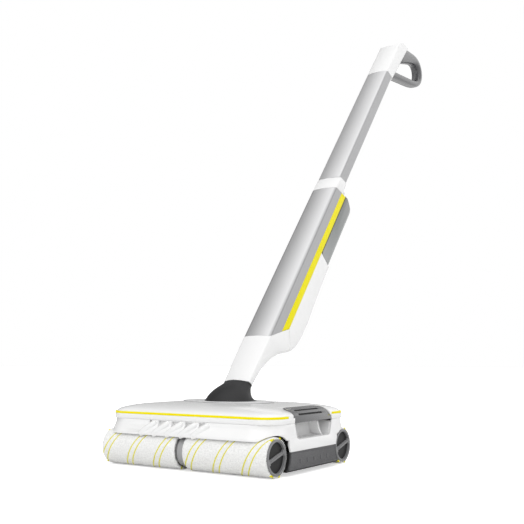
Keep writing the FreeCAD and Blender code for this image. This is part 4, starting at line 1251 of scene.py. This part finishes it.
def camera():
    data = bpy.data.cameras.new("camera")
    data.lens = LENS
    data.sensor_width = SENSOR
    data.shift_x, data.shift_y = SHIFT
    eye = bpy.data.objects.new("camera", data)
    bpy.context.scene.collection.objects.link(eye)
    eye.location = mm(*CAMERA_SPOT)
    eye.rotation_euler = Euler((math.radians(90 + CAMERA_RISE), 0, math.radians(CAMERA_AZIMUTH)))
    bpy.context.scene.camera = eye


def lamp(name, spot, aim, size, watts):
    data = bpy.data.lights.new(name, "AREA")
    data.shape = "RECTANGLE"
    data.size, data.size_y = size
    data.energy = watts
    light = bpy.data.objects.new(name, data)
    bpy.context.scene.collection.objects.link(light)
    light.location = spot
    light.rotation_euler = (Vector(aim) - Vector(spot)).to_track_quat("-Z", "Y").to_euler()


def studio():
    """A white studio: bright above and in front, weaker on the left, with a dark flag high on the right."""
    world = bpy.data.worlds.new("studio")
    world.use_nodes = True
    nodes, links = world.node_tree.nodes, world.node_tree.links
    coords = nodes.new("ShaderNodeTexCoord")

    def lobe(direction, start, full, low, high):
        """A soft patch of the studio's walls round a direction."""
        towards = nodes.new("ShaderNodeVectorMath")
        towards.operation = "DOT_PRODUCT"
        towards.inputs[1].default_value = Vector(direction).normalized()
        links.new(coords.outputs["Generated"], towards.inputs[0])
        patch = nodes.new("ShaderNodeMapRange")
        patch.interpolation_type = "SMOOTHSTEP"
        for key, value in (("From Min", start), ("From Max", full), ("To Min", low), ("To Max", high)):
            patch.inputs[key].default_value = value
        links.new(towards.outputs["Value"], patch.inputs["Value"])
        return patch.outputs["Result"]

    def both(operation, first, second):
        node = nodes.new("ShaderNodeMath")
        node.operation = operation
        links.new(first, node.inputs[0])
        links.new(second, node.inputs[1])
        return node.outputs["Value"]

    walls = lobe((1, -0.8, 0.1), -1.0, 1.0, 0.58, 1.08)
    ceiling = lobe((0.05, -0.3, 0.95), 0.5, 0.98, 0.0, 0.74)
    behind = lobe((0.5, 0.85, 0.1), 0.5, 0.95, 0.0, 0.38)
    flag = lobe((0.76, 0.1, 0.64), 0.86, 0.97, 1.0, 0.55)
    dim_left = lobe((-0.9, 0.25, 0.4), 0.3, 0.95, 1.0, 0.45)
    glow = both("ADD", both("ADD", walls, ceiling), behind)
    light = both("MULTIPLY", glow, both("MULTIPLY", flag, dim_left))
    seen = nodes.new("ShaderNodeLightPath")
    mix = nodes.new("ShaderNodeMix")
    mix.data_type = "FLOAT"
    links.new(seen.outputs["Is Camera Ray"], mix.inputs["Factor"])
    links.new(light, mix.inputs[2])
    mix.inputs[3].default_value = 1.0
    wall = nodes["Background"]
    wall.inputs["Color"].default_value = (1, 1, 1, 1)
    links.new(mix.outputs[0], wall.inputs["Strength"])
    bpy.context.scene.world = world
    bpy.context.scene.view_settings.view_transform = "Standard"
    lamp("key", (-0.4, -2.4, 2.2), (0, 0.1, 0.3), (1.4, 1.4), 4)


def floor():
    """A pale floor that looks as white as the studio to the camera."""
    deselect()
    bpy.ops.mesh.primitive_plane_add(size=40.0, location=(0, 0, 0))
    ground = named("floor")
    finish = Finish("pale_floor", (0.85, 0.85, 0.85), 0.7, specular=0.1)
    finish.shader.inputs["Emission Color"].default_value = (1, 1, 1, 1)
    seen = finish.nodes.new("ShaderNodeLightPath")
    finish.feed("Emission Strength", finish.maths("MULTIPLY", seen.outputs["Is Camera Ray"], FLOOR_GLOW))
    paint(ground, finish.material)


floor()
studio()
camera()
paint_nodes()
build_head()
build_rollers()
build_boot()
build_handle()
